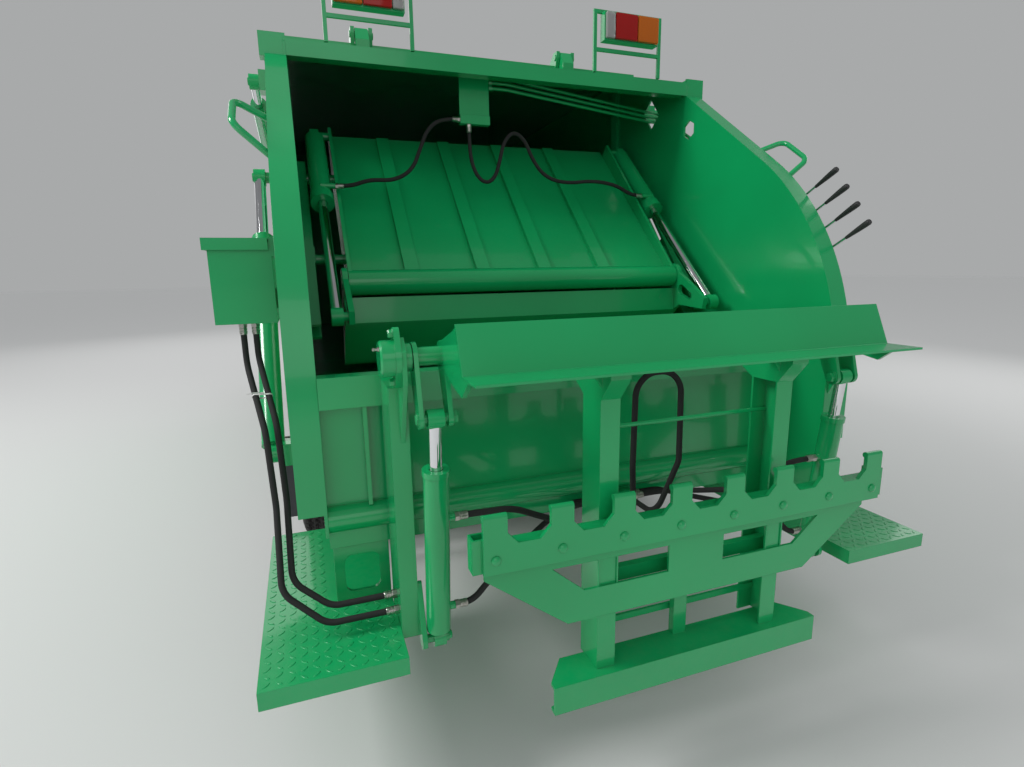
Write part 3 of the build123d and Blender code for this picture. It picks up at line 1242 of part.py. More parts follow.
def control_box():
    x, (y0, y1) = (-1212, -1042), BOX_Y
    outer = block(x, BOX_Y, (1300, BOX_TOP))
    inside = block((x[0] + 6, x[1] - 6), (y0 + 6, y1 - 6), (1306, BOX_TOP + 1))
    arm = block((x[1] - 1, -WALL_X - WALL_T - SEAT), (780, 880), (1340, 1400))
    knuckles = lid_bar((y0, y0 + 60), 9) + lid_bar((y1 - 60, y1), 9) + lid_bar((y0, y1), 4)
    posts = block((x[1] - 6, LID_HINGE_X + 4), (y0, y0 + 60), (BOX_TOP - 40, LID_HINGE_Z))
    posts += block((x[1] - 6, LID_HINGE_X + 4), (y1 - 60, y1), (BOX_TOP - 40, LID_HINGE_Z))
    return outer - inside + arm + knuckles + posts


def control_lid():
    """Lid with a lip that hangs over three sides of the box."""
    x0, x1 = -1224, -1050
    y0, y1 = BOX_Y[0] - 12, BOX_Y[1] + 12
    lid = block((x0, x1), (y0, y1), (BOX_TOP + SEAT, BOX_TOP + 12))
    lid += block((x0, x0 + 6), (y0, y1), (BOX_TOP - 22, BOX_TOP + 12))
    for y in (y0, y1 - 6):
        lid += block((x0, x1), (y, y + 6), (BOX_TOP - 22, BOX_TOP + 12))
    knuckle_y = (BOX_Y[0] + 60 + SEAT, BOX_Y[1] - 60 - SEAT)
    lid += block((x1 - 1, LID_HINGE_X), knuckle_y, (LID_HINGE_Z - 4, LID_HINGE_Z + 6))
    return lid + lid_bar(knuckle_y, 9) - lid_bar(knuckle_y, 4.3)


def control_levers():
    """Valve bank outside the right wall with four levers."""
    body = strip((980, 1760), (750, 1438), 50, (WALL_X + WALL_T + SEAT, 1120))
    levers = None
    for i in range(4):
        y, z = 812 - i * 56, 1726 - i * 72
        rod = bar((1085, y + 110, z - 56), (1085, y - 110, z + 70), 5)
        knob = bar((1085, y - 105, z + 67), (1085, y - 150, z + 93), 10)
        levers = rod + knob if levers is None else levers + rod + knob
    return body + levers


def side_hoses():
    """Two hoses from the control box down outside the left post to the column."""
    column = -STEP_X0
    box_z = 1300 - SEAT
    first = hose([(-1110, 760, box_z), (-1110, 760, 1190), (-1066, 560, 1020), (-1058, 535, 800),
                  (-1058, 420, 600), (-960, 385, 525), (column, 385, 525)])
    second = hose([(-1145, 760, box_z), (-1145, 760, 1170), (-1096, 540, 1005), (-1086, 510, 790),
                   (-1086, 395, 585), (-975, 352, 494), (column, 352, 494)])
    return first + second


NODES = {
    "chassis_frame": chassis_frame,
    "front_axle": front_axle,
    "rear_axle": rear_axle,
    "engine_block": engine_block,
    "side_tanks": side_tanks,
    "front_bumper": front_bumper,
    "body_sides": body_sides,
    "body_floor": body_floor,
    "body_roof": body_roof,
    "rear_portal": rear_portal,
    "guards": guards,
    "mudflaps": mudflaps,
    "tie_rod": tie_rod,
    "cab_shell": cab_shell,
    "cab_glass": cab_glass,
    "cab_trim": cab_trim,
    "mirrors": mirrors,
    "seats": seats,
    "dashboard": dashboard,
    "tailgate_walls": tailgate_walls,
    "tailgate_frame": tailgate_frame,
    "hopper_trough": hopper_trough,
    "lamp_frames": lamp_frames,
    "foot_plates": foot_plates,
    "lifter_columns": lifter_columns,
    "lifter_hoses": lifter_hoses,
    "control_box": control_box,
    "control_lid": control_lid,
    "control_levers": control_levers,
    "side_hoses": side_hoses,
    "carriage_frame": carriage_frame,
    "packer_hoses": packer_hoses,
    "packer_blade": packer_blade,
    "carriage_barrels": carriage_barrels,
    "carriage_rods": carriage_rods,
    "blade_barrels": blade_barrels,
    "blade_rods": blade_rods,
    "lift_barrels": lift_barrels,
    "lift_rods": lift_rods,
    "lifter_frame": lifter_frame,
    "lifter_comb": lifter_comb,
    "lifter_deflector": lifter_deflector,
    "lifter_barrels": lifter_barrels,
    "lifter_rods": lifter_rods,
    "ejector": ejector,
}

SIDED = {
    "knuckle": knuckle,
    "front_wheel": front_wheel,
    "front_tyre": front_tyre,
    "rear_wheels": twin_wheels,
    "rear_tyres": twin_tyres,
    "door": door,
    "door_glass": door_glass,
}


def save(name, piece):
    export_step(Pos(0, -Y_MID, 0) * piece, f"parts/{name}.step")


def main():
    os.makedirs("parts", exist_ok=True)
    for name, build in NODES.items():
        save(name, build())
    for name, build in SIDED.items():
        right = build()
        save(f"{name}_right", right)
        save(f"{name}_left", mirror(right, about=Plane.YZ))


if __name__ == "__main__":
    main()
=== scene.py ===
from math import cos, radians, sin, tau

import bmesh
import bpy
from mathutils import Matrix, Vector


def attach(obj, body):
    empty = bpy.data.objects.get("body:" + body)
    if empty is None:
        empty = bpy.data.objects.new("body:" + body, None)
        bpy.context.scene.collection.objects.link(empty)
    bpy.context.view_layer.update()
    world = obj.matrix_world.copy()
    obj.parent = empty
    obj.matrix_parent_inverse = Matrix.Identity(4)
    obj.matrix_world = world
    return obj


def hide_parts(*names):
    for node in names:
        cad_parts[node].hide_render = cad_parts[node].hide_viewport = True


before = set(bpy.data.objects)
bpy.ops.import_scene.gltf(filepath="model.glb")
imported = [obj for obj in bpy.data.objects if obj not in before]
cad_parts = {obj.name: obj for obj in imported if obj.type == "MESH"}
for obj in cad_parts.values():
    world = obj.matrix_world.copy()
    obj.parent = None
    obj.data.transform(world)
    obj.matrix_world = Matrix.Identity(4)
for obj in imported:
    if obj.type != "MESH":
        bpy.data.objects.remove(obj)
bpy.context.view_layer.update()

bl_info = {
    "name": "Rear loader finishes",
    "version": (1, 0, 0),
    "blender": (4, 5, 0),
    "location": "View3D > Sidebar > Rear loader",
    "description": "Paint, rubber, lamps, hardware and studio for a rear-loading refuse truck",
    "category": "Object",
}

MM = 0.001
Y_MID = 3590
SIDES = (("right", 1), ("left", -1))


def at(x, y, z):
    """Point in metres from millimetres measured from the comb's rear face."""
    return Vector((x * MM, (y - Y_MID) * MM, z * MM))


# Shader building

class Graph:
    """Short way to place nodes in a material or a node group."""

    def __init__(self, tree):
        self.tree = tree

    def add(self, kind, values=None, **settings):
        node = self.tree.nodes.new(kind)
        for name, value in settings.items():
            setattr(node, name, value)
        for socket, value in (values or {}).items():
            if isinstance(value, bpy.types.NodeSocket):
                self.tree.links.new(value, node.inputs[socket])
            else:
                node.inputs[socket].default_value = value
        return node

    def math(self, operation, a, b=0.0, clamp=False):
        node = self.add("ShaderNodeMath", {0: a, 1: b}, operation=operation, use_clamp=clamp)
        return node.outputs[0]

    def mix(self, factor, a, b, blend="MIX"):
        node = self.add("ShaderNodeMix", {0: factor, 6: a, 7: b}, data_type="RGBA", blend_type=blend)
        return node.outputs[2]

    def noise(self, where, scale, detail=3.0, rough=0.5):
        node = self.add("ShaderNodeTexNoise", {"Vector": where, "Scale": scale, "Detail": detail,
                                               "Roughness": rough})
        return node.outputs[0]

    def ramp(self, value, low, high):
        node = self.add("ShaderNodeMapRange", {0: value, 1: low, 2: high, 3: 0.0, 4: 1.0})
        return node.outputs[0]

    def place(self):
        return self.add("ShaderNodeTexCoord").outputs["Object"]

    def bump(self, strength, distance, height, node, **normal):
        """Bump in metres, linked to the Normal socket of a node."""
        values = {"Strength": strength, "Distance": distance, "Height": height, **normal}
        self.link(self.add("ShaderNodeBump", values).outputs[0], node, "Normal")

    def link(self, output, node, socket):
        self.tree.links.new(output, node.inputs[socket])


SURFACE = [("Color", "Color"), ("Roughness", "Float"), ("Normal", "Vector")]


def effect(name, inputs, outputs=SURFACE):
    """Empty node group with named sockets, and its graph, what it is given and its outlet."""
    tree = bpy.data.node_groups.new(name, "ShaderNodeTree")
    for label, value in inputs.items():
        kind = "Color" if isinstance(value, tuple) else "Float"
        socket = tree.interface.new_socket(label, in_out="INPUT", socket_type="NodeSocket" + kind)
        socket.default_value = value
    for label, kind in outputs:
        tree.interface.new_socket(label, in_out="OUTPUT", socket_type="NodeSocket" + kind)
    graph = Graph(tree)
    return graph, graph.add("NodeGroupInput").outputs, graph.add("NodeGroupOutput")


def build_sprayed_coat():
    """Sprayed enamel: slow tone drift, orange peel, a little dust that settles low down."""
    g, given, out = effect("sprayed_coat", {
        "Color": (0.5, 0.5, 0.5, 1), "Drift": 0.1, "Peel": 0.2, "Roughness": 0.25, "Dust": 0.1,
        "Dust Color": (0.42, 0.36, 0.28, 1), "Dust Top": 0.9})
    where = g.place()
    slow = g.ramp(g.noise(where, 2.3, 2.0), 0.3, 0.7)
    fine = g.ramp(g.noise(where, 38.0, 4.0, 0.6), 0.35, 0.75)
    darker = g.mix(1.0, given["Color"], (0.72, 0.78, 0.76, 1), "MULTIPLY")
    tone = g.mix(g.math("MULTIPLY", slow, given["Drift"]), given["Color"], darker)
    height = g.add("ShaderNodeSeparateXYZ", {0: where}).outputs[2]
    low = g.math("SUBTRACT", 1.0, g.math("DIVIDE", height, given["Dust Top"]), clamp=True)
    facing = g.add("ShaderNodeNewGeometry").outputs["Normal"]
    up = g.add("ShaderNodeSeparateXYZ", {0: facing}).outputs[2]
    lying = g.math("ADD", g.math("MULTIPLY", g.ramp(up, 0.3, 1.0), 0.35), low)
    dust = g.math("MULTIPLY", g.math("MULTIPLY", lying, fine), given["Dust"], clamp=True)
    g.link(g.mix(dust, tone, given["Dust Color"]), out, "Color")
    duller = g.math("ADD", given["Roughness"], g.math("MULTIPLY", dust, 0.6))
    g.link(g.math("ADD", duller, g.math("MULTIPLY", slow, 0.05), clamp=True), out, "Roughness")
    peel = g.math("ADD", g.noise(where, 160.0, 2.0), g.math("MULTIPLY", g.noise(where, 14.0, 2.0), 1.6))
    soft_edge = g.add("ShaderNodeBevel", {"Radius": 0.0022}, samples=4)
    g.bump(given["Peel"], 0.0006, peel, out, Normal=soft_edge.outputs[0])


def build_moulded_grain():
    """Fine leather-like grain of moulded plastic and rubber, with pale scuffs."""
    g, given, out = effect("moulded_grain", {
        "Color": (0.03, 0.03, 0.03, 1), "Scuff": 0.2, "Scale": 300.0, "Roughness": 0.6, "Depth": 0.3})
    where = g.place()
    cells = g.add("ShaderNodeTexVoronoi", {"Vector": where, "Scale": given["Scale"]}).outputs[0]
    patches = g.ramp(g.noise(where, 9.0, 5.0, 0.65), 0.45, 0.8)
    grey = g.mix(1.0, given["Color"], (0.12, 0.115, 0.105, 1), "ADD")
    mask = g.math("MULTIPLY", patches, given["Scuff"], clamp=True)
    g.link(g.mix(mask, given["Color"], grey), out, "Color")
    g.link(g.math("ADD", given["Roughness"], g.math("MULTIPLY", mask, 0.25), clamp=True), out, "Roughness")
    g.bump(given["Depth"], 0.0004, cells, out)


def build_turned_metal():
    """Fine scratches and slight stains on bare or plated metal."""
    g, given, out = effect("turned_metal", {
        "Color": (0.7, 0.7, 0.72, 1), "Stain": 0.15, "Roughness": 0.15, "Scratch": 0.1})
    where = g.place()
    stretched = g.add("ShaderNodeMapping", {0: where, 3: (400.0, 400.0, 30.0)}).outputs[0]
    lines = g.noise(stretched, 1.0, 3.0)
    stains = g.ramp(g.noise(where, 12.0, 4.0, 0.6), 0.5, 0.75)
    mask = g.math("MULTIPLY", stains, given["Stain"], clamp=True)
    brown = g.mix(1.0, given["Color"], (0.55, 0.45, 0.34, 1), "MULTIPLY")
    g.link(g.mix(mask, given["Color"], brown), out, "Color")
    g.link(g.math("ADD", given["Roughness"], g.math("MULTIPLY", mask, 0.4), clamp=True), out, "Roughness")
    g.bump(given["Scratch"], 0.0002, lines, out)


def build_woven_cloth():
    """Two crossed threads with a small colour change from thread to thread."""
    g, given, out = effect("woven_cloth", {"Color": (0.1, 0.1, 0.11, 1), "Threads": 420.0, "Depth": 0.5})
    parts = g.add("ShaderNodeSeparateXYZ", {0: g.place()})
    waves = [g.math("SINE", g.math("MULTIPLY", parts.outputs[i], given["Threads"])) for i in range(3)]
    weave = g.math("ADD", g.math("MULTIPLY", waves[0], waves[1]), g.math("MULTIPLY", waves[0], waves[2]))
    tone = g.mix(1.0, given["Color"], (0.55, 0.56, 0.6, 1), "MULTIPLY")
    g.link(g.mix(g.ramp(weave, -1.0, 1.0), given["Color"], tone), out, "Color")
    g.link(g.math("ADD", 0.85, g.math("MULTIPLY", weave, 0.04), clamp=True), out, "Roughness")
    g.bump(given["Depth"], 0.0008, weave, out)


def build_painted_eye():
    """Paint over the round eye at the end of a plated rod, and the mask of what stays bare."""
    g, given, out = effect("painted_eye", {
        "Color": (0.8, 0.8, 0.8, 1), "Roughness": 0.1, "Paint": (0, 0.3, 0.1, 1), "Y": 0.0, "Z": 0.0,
        "Radius": 0.03}, [("Color", "Color"), ("Roughness", "Float"), ("Bare", "Float")])
    parts = g.add("ShaderNodeSeparateXYZ", {0: g.place()})
    dy = g.math("SUBTRACT", parts.outputs[1], given["Y"])
    dz = g.math("SUBTRACT", parts.outputs[2], given["Z"])
    away = g.math("SQRT", g.math("ADD", g.math("MULTIPLY", dy, dy), g.math("MULTIPLY", dz, dz)))
    bare = g.math("GREATER_THAN", away, given["Radius"])
    g.link(g.mix(bare, given["Paint"], given["Color"]), out, "Color")
    painted = g.math("MULTIPLY", g.math("SUBTRACT", 1.0, bare), 0.16)
    g.link(g.math("ADD", given["Roughness"], painted), out, "Roughness")
    g.link(bare, out, "Bare")


def principled(name, **shader):
    """New material, its graph and its shader, with the shader's sockets set."""
    material = bpy.data.materials.new(name)
    material.use_nodes = True
    surface = material.node_tree.nodes["Principled BSDF"]
    for socket, value in shader.items():
        surface.inputs[socket.replace("_", " ")].default_value = value
    return material, Graph(material.node_tree), surface


def finish_material(name, group, values, **shader):
    """Principled material fed by one of the effect groups; gives its graph, effect node and shader."""
    _, g, surface = principled(name, **shader)
    node = g.add("ShaderNodeGroup", node_tree=bpy.data.node_groups[group])
    for socket, value in values.items():
        node.inputs[socket].default_value = value
    g.link(node.outputs["Color"], surface, "Base Color")
    g.link(node.outputs["Roughness"], surface, "Roughness")
    g.link(node.outputs["Normal"], surface, "Normal")
    return g, node, surface


def rod_material(name, eye, reach, green):
    """Plated rod with its eye painted; eye is (Y, Z) in millimetres and reach the painted radius."""
    g, metal, surface = finish_material(name, "turned_metal", {
        "Color": (0.80, 0.81, 0.83, 1), "Stain": 0.10, "Roughness": 0.07, "Scratch": 0.05})
    cover = g.add("ShaderNodeGroup", node_tree=bpy.data.node_groups["painted_eye"])
    centre = at(0, *eye)
    for socket, value in (("Paint", green), ("Y", centre.y), ("Z", centre.z), ("Radius", reach * MM)):
        cover.inputs[socket].default_value = value
    g.link(metal.outputs["Color"], cover, "Color")
    g.link(metal.outputs["Roughness"], cover, "Roughness")
    g.link(cover.outputs["Color"], surface, "Base Color")
    g.link(cover.outputs["Roughness"], surface, "Roughness")
    g.link(cover.outputs["Bare"], surface, "Metallic")


def glass_material(name, tint, roughness, clear):
    """Clear or part clear material with a slow wave in its surface."""
    _, g, surface = principled(name, Base_Color=tint, Roughness=roughness, Transmission_Weight=clear, IOR=1.45)
    g.bump(0.03, 0.001, g.noise(g.place(), 3.0, 1.0), surface)


def paint(nodes, material):
    for name in nodes:
        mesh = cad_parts[name].data
        mesh.materials.clear()
        mesh.materials.append(bpy.data.materials[material])


# Mesh building

def added(name, data):
    """New object of the scene with the given data."""
    thing = bpy.data.objects.new(name, data)
    bpy.context.scene.collection.objects.link(thing)
    return thing


def place(name, bm, body, material="green_gloss", smooth=True):
    """Turns a bmesh into a piece that rides on a body."""
    bmesh.ops.recalc_face_normals(bm, faces=bm.faces)
    mesh = bpy.data.meshes.new(name)
    bm.to_mesh(mesh)
    bm.free()
    piece = added(name, mesh)
    mesh.materials.append(bpy.data.materials[material])
    if smooth:
        mesh.shade_smooth()
        mesh.set_sharp_from_angle(angle=radians(32))
    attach(piece, body)
    return piece


def turned(bm, centre, axis, profile, steps):
    """Solid of revolution from (distance along the axis, radius) pairs, with closed ends."""
    axis = Vector(axis).normalized()
    u = axis.orthogonal().normalized()
    v = axis.cross(u)
    rings = []
    for along, radius in profile:
        ring = []
        for i in range(steps):
            a = tau * i / steps
            ring.append(bm.verts.new(centre + axis * along + (u * cos(a) + v * sin(a)) * radius))
        rings.append(ring)
    for low, high in zip(rings, rings[1:]):
        for i in range(steps):
            bm.faces.new((low[i], low[(i + 1) % steps], high[(i + 1) % steps], high[i]))
    bm.faces.new(rings[0])
    bm.faces.new(rings[-1][::-1])


WASHER = 0.002


def hex_bolt(bm, centre, normal, across, height):
    """Washer and hexagon head with a chamfered top."""
    turned(bm, centre, normal, [(0, across * 0.74), (WASHER, across * 0.74)], 24)
    r = across / 3 ** 0.5
    turned(bm, centre + Vector(normal) * WASHER, normal, [(0, r), (height * 0.8, r), (height, r * 0.86)], 6)


def soft_block(bm, low, high, bevel, segments=2):
    """Box with rounded edges."""
    corners = bmesh.ops.create_cube(bm, size=1.0)["verts"]
    middle, size = (low + high) / 2, high - low
    for v in corners:
        v.co = Vector((middle[i] + v.co[i] * size[i] for i in range(3)))
    edges = list({e for v in corners for e in v.link_edges})
    bmesh.ops.bevel(bm, geom=edges, offset=bevel, segments=segments, affect="EDGES", profile=0.6)


def swept(bm, points, radius, sides):
    """Round bar along points; radius is a number or one per point."""
    last = len(points) - 1
    radii = radius if isinstance(radius, list) else [radius] * len(points)
    rings, up = [], None
    for i, point in enumerate(points):
        direction = (points[min(i + 1, last)] - points[max(i - 1, 0)]).normalized()
        up = direction.orthogonal() if up is None else up - direction * up.dot(direction)
        up.normalize()
        side = direction.cross(up)
        rings.append([bm.verts.new(point + (up * cos(tau * k / sides) + side * sin(tau * k / sides)) * radii[i])
                      for k in range(sides)])
    for low, high in zip(rings, rings[1:]):
        for k in range(sides):
            bm.faces.new((low[k], low[(k + 1) % sides], high[(k + 1) % sides], high[k]))
    bm.faces.new(rings[0][::-1])
    bm.faces.new(rings[-1])


# Settings

class StageSettings(bpy.types.PropertyGroup):
    lens: bpy.props.FloatProperty(name="Lens", description="Focal length of the wide camera", default=20.03,
                                  subtype="DISTANCE_CAMERA")
    eye: bpy.props.FloatVectorProperty(name="Camera place", description="Where the camera stands", size=3,
                                       default=(-0.965, -4.744, 1.45), subtype="TRANSLATION", unit="LENGTH")
    heading: bpy.props.FloatProperty(name="Heading", description="Turn from straight ahead towards the right",
                                     default=radians(19.8), subtype="ANGLE")
    tilt: bpy.props.FloatProperty(name="Tilt", description="Downward tilt of the camera",
                                  default=radians(11.44), subtype="ANGLE")
    roll: bpy.props.FloatProperty(name="Roll", description="Sideways roll of the camera",
                                  default=radians(-0.88), subtype="ANGLE")
    floor: bpy.props.FloatVectorProperty(name="Floor colour", description="Colour of the studio floor", size=3,
                                         default=(0.66, 0.66, 0.65), subtype="COLOR")
    sky: bpy.props.FloatProperty(name="Sky", description="Strength of the even light from all round", default=0.62)
    gloss: bpy.props.FloatProperty(name="Sky in gloss", description="Share of the even light that reflections show",
                                   default=0.35, subtype="FACTOR", min=0.0, max=1.0)


class PaintSettings(bpy.types.PropertyGroup):
    green: bpy.props.FloatVectorProperty(name="Body green", description="Enamel of the refuse body", size=4,
                                         default=(0.006, 0.385, 0.118, 1), subtype="COLOR")
    cab: bpy.props.FloatVectorProperty(name="Cab colour", description="Enamel of the cab", size=4,
                                       default=(0.78, 0.78, 0.75, 1), subtype="COLOR")
    chassis: bpy.props.FloatVectorProperty(name="Chassis colour", description="Paint under the body", size=4,
                                           default=(0.022, 0.022, 0.024, 1), subtype="COLOR")
    peel: bpy.props.FloatProperty(name="Orange peel", description="Depth of the sprayed texture", default=0.22,
                                  subtype="FACTOR", min=0.0, max=1.0)


class TyreSettings(bpy.types.PropertyGroup):
    groove: bpy.props.FloatProperty(name="Groove depth", description="Depth of the tread grooves",
                                    default=0.011, unit="LENGTH")
    pitches: bpy.props.IntProperty(name="Pitches", description="Lug pitches round the tyre", default=48)
    radius: bpy.props.FloatProperty(name="Radius", description="Outer radius of the tyre", default=0.400,
                                    unit="LENGTH")


SETTINGS = {"rl_stage": StageSettings, "rl_paint": PaintSettings, "rl_tyre": TyreSettings}


# Stage

# Soft lamps: name, place, aim and size in metres, power in watts
LIGHTS = (
    ("key", (-7.5, -1.9, 7.2), (0, -2.4, 1.2), (3, 3), 470),
    ("fill", (-2.0, -9.5, 4.0), (0, -3, 1.0), (6, 4), 50),
    ("side", (7.5, -1.0, 4.5), (0, 0, 1.2), (5, 5), 100),
    ("front", (-3.5, 9.0, 5.5), (0, 2, 1.2), (5, 5), 90),
)


class RearLoaderStage(bpy.types.Operator):
    """Set up the camera, the pale floor and soft studio light"""
    bl_idname = "rear_loader.stage"
    bl_label = "Stage"

    def camera(self, s):
        right = Vector((cos(s.heading), -sin(s.heading), 0))
        level = Vector((sin(s.heading), cos(s.heading), 0))
        ahead = level * cos(s.tilt) - Vector((0, 0, 1)) * sin(s.tilt)
        up = right.cross(ahead)
        turned_right = right * cos(s.roll) + up * sin(s.roll)
        turned_up = up * cos(s.roll) - right * sin(s.roll)
        data = bpy.data.cameras.new("wide_camera")
        data.lens, data.sensor_width, data.clip_end = s.lens, 36, 200
        camera = added("wide_camera", data)
        pose = Matrix((turned_right, turned_up, -ahead)).transposed().to_4x4()
        pose.translation = Vector(s.eye)
        camera.matrix_world = pose
        bpy.context.scene.camera = camera

    def floor(self, s):
        bm = bmesh.new()
        bmesh.ops.create_grid(bm, x_segments=1, y_segments=1, size=60)
        mesh = bpy.data.meshes.new("studio_floor")
        bm.to_mesh(mesh)
        bm.free()
        floor = added("studio_floor", mesh)
        material = principled("floor_matt", Base_Color=(*s.floor, 1), Roughness=0.9, Specular_IOR_Level=0.1)[0]
        mesh.materials.append(material)

    def light(self, name, place_at, aim, size, power):
        data = bpy.data.lights.new(name, "AREA")
        data.shape, data.size, data.size_y, data.energy = "RECTANGLE", size[0], size[1], power
        lamp = added(name, data)
        lamp.location = place_at
        lamp.rotation_euler = (Vector(aim) - Vector(place_at)).to_track_quat("-Z", "Y").to_euler()

    def world(self, s):
        """Even light all round, dim in reflections; the camera sees it in the far floor's own tone."""
        world = bpy.data.worlds.new("studio_world")
        bpy.context.scene.world = world
        world.use_nodes = True
        g = Graph(world.node_tree)
        world.node_tree.nodes.clear()
        rays = g.add("ShaderNodeLightPath")
        seen = g.math("MAXIMUM", rays.outputs["Is Camera Ray"], rays.outputs["Is Transmission Ray"])
        dim = g.math("SUBTRACT", 1.0, g.math("MULTIPLY", rays.outputs["Is Glossy Ray"], 1.0 - s.gloss))
        strength = g.math("MULTIPLY", dim, s.sky)
        fill = g.add("ShaderNodeBackground", {"Color": (0.96, 0.98, 1, 1), "Strength": strength})
        tone = (s.floor[0] * 0.96, s.floor[1] * 0.98, s.floor[2], 1)
        shown = g.add("ShaderNodeBackground", {"Color": tone, "Strength": s.sky})
        mixed = g.add("ShaderNodeMixShader", {0: seen, 1: fill.outputs[0], 2: shown.outputs[0]})
        out = g.add("ShaderNodeOutputWorld")
        g.link(mixed.outputs[0], out, "Surface")

    def execute(self, context):
        s = context.scene.rl_stage
        context.scene.view_settings.view_transform = "Standard"
        self.camera(s)
        self.floor(s)
        self.world(s)
        for lamp in LIGHTS:
            self.light(*lamp)
        return {"FINISHED"}


# Finishes

# Eye of each pair of rods, as (Y, Z), and how far the paint reaches from it
ROD_EYES = {
    "carriage_rods": ((1881.8, 1882.8), 40),
    "blade_rods": ((1090, 1280), 36),
    "lift_rods": ((2000, 2330), 36),
    "lifter_rods": ((210, 1085), 26),
}

# Sprayed coats; a row without a dust colour keeps the one of the effect
COAT = ("Color", "Drift", "Peel", "Roughness", "Dust", "Dust Top", "Dust Color")
ROAD_DUST = (0.40, 0.34, 0.26, 1)
# How metallic each of two more coats is, and then its values
COATS = {
    "casting_grey": (0.0, (0.10, 0.10, 0.105, 1), 0.6, 1.0, 0.62, 0.6, 1.2, ROAD_DUST),
    "rim_silver": (0.55, (0.46, 0.46, 0.45, 1), 0.4, 0.25, 0.36, 0.5, 0.9, ROAD_DUST),
}

# Bare and plated metal
METAL = ("Color", "Stain", "Roughness", "Scratch")
METALS = {
    "lever_chrome": ((0.70, 0.70, 0.71, 1), 0.35, 0.16, 0.1),
    "zinc_plate": ((0.52, 0.51, 0.47, 1), 0.35, 0.30, 0.1),
    "mirror_face": ((0.88, 0.89, 0.9, 1), 0.0, 0.02, 0.0),
}

# Plastic and rubber
GRAIN = ("Color", "Scuff", "Scale", "Roughness", "Depth")
GRAINS = {
    "black_plastic": ((0.018, 0.018, 0.019, 1), 0.2, 900.0, 0.5, 0.25),
    "white_plastic": ((0.62, 0.62, 0.60, 1), 0.1, 900.0, 0.4, 0.1),
    "dash_plastic": ((0.06, 0.062, 0.066, 1), 0.1, 700.0, 0.62, 0.35),
    "tread_rubber": ((0.022, 0.021, 0.020, 1), 0.75, 260.0, 0.78, 0.35),
    "flap_rubber": ((0.07, 0.07, 0.072, 1), 0.8, 120.0, 0.8, 0.6),
    "hose_rubber": ((0.016, 0.016, 0.017, 1), 0.25, 600.0, 0.42, 0.2),
}

# Glass and lenses: tint, roughness and how clear
GLASSES = {
    "window_glass": ((0.90, 0.95, 0.94, 1), 0.02, 1.0),
    "lens_red": ((0.50, 0.012, 0.010, 1), 0.08, 0.35),
    "lens_amber": ((0.72, 0.17, 0.012, 1), 0.08, 0.35),
    "lens_clear": ((0.70, 0.70, 0.69, 1), 0.08, 0.6),
}


class RearLoaderEffects(bpy.types.Operator):
    """Build the shared surface effects and the materials of every finish"""
    bl_idname = "rear_loader.effects"
    bl_label = "Finishes"

    def execute(self, context):
        s = context.scene.rl_paint
        build_sprayed_coat()
        build_moulded_grain()
        build_turned_metal()
        build_woven_cloth()
        build_painted_eye()
        finish_material("green_gloss", "sprayed_coat",
                        dict(zip(COAT, (s.green, 0.55, s.peel, 0.20, 0.04, 0.75))),
                        Coat_Weight=0.55, Coat_Roughness=0.06, Specular_IOR_Level=0.5)
        finish_material("cab_gloss", "sprayed_coat", dict(zip(COAT, (s.cab, 0.2, 0.12, 0.22, 0.14, 1.1))),
                        Coat_Weight=0.6, Coat_Roughness=0.05)
        finish_material("chassis_satin", "sprayed_coat",
                        dict(zip(COAT, (s.chassis, 0.5, 0.3, 0.48, 0.55, 1.2, ROAD_DUST))))
        for name, (metallic, *row) in COATS.items():
            finish_material(name, "sprayed_coat", dict(zip(COAT, row)), Metallic=metallic)
        for name, (eye, reach) in ROD_EYES.items():
            rod_material(name, eye, reach, s.green)
        for name, row in METALS.items():
            finish_material(name, "turned_metal", dict(zip(METAL, row)), Metallic=1.0)
        for name, row in GRAINS.items():
            finish_material(name, "moulded_grain", dict(zip(GRAIN, row)))
        finish_material("seat_weave", "woven_cloth",
                        {"Color": (0.09, 0.10, 0.12, 1), "Threads": 900.0, "Depth": 0.4}, Sheen_Weight=0.25)
        for name, row in GLASSES.items():
            glass_material(name, *row)
        return {"FINISHED"}


class RearLoaderBodyPaint(bpy.types.Operator):
    """Paint the refuse body, tailgate, packer and lifter, and plate their rods"""
    bl_idname = "rear_loader.body_paint"
    bl_label = "Body paint"

    def execute(self, context):
        green = ["tailgate_walls", "tailgate_frame", "hopper_trough", "lamp_frames", "foot_plates", "lifter_columns",
                 "control_box", "control_lid", "carriage_frame", "packer_blade", "carriage_barrels",
                 "blade_barrels", "lift_barrels", "lifter_barrels", "lifter_frame", "lifter_comb",
                 "lifter_deflector", "body_sides", "body_floor", "body_roof", "rear_portal", "ejector"]
        paint(green, "green_gloss")
        for rods in ROD_EYES:
            paint([rods], rods)
        paint(["lifter_hoses", "side_hoses"], "hose_rubber")
        paint(["control_levers"], "lever_chrome")
        return {"FINISHED"}


class RearLoaderChassisPaint(bpy.types.Operator):
    """Paint the chassis, axles, engine, tanks, rims and flaps"""
    bl_idname = "rear_loader.chassis_paint"
    bl_label = "Chassis paint"

    def execute(self, context):
        paint(["chassis_frame", "front_axle", "rear_axle", "guards", "tie_rod", "knuckle_right", "knuckle_left",
               "side_tanks"], "chassis_satin")
        paint(["engine_block"], "casting_grey")
        paint(["mudflaps"], "flap_rubber")
        for axle in ("front_wheel", "rear_wheels"):
            paint([f"{axle}_{side}" for side, _ in SIDES], "rim_silver")
        return {"FINISHED"}


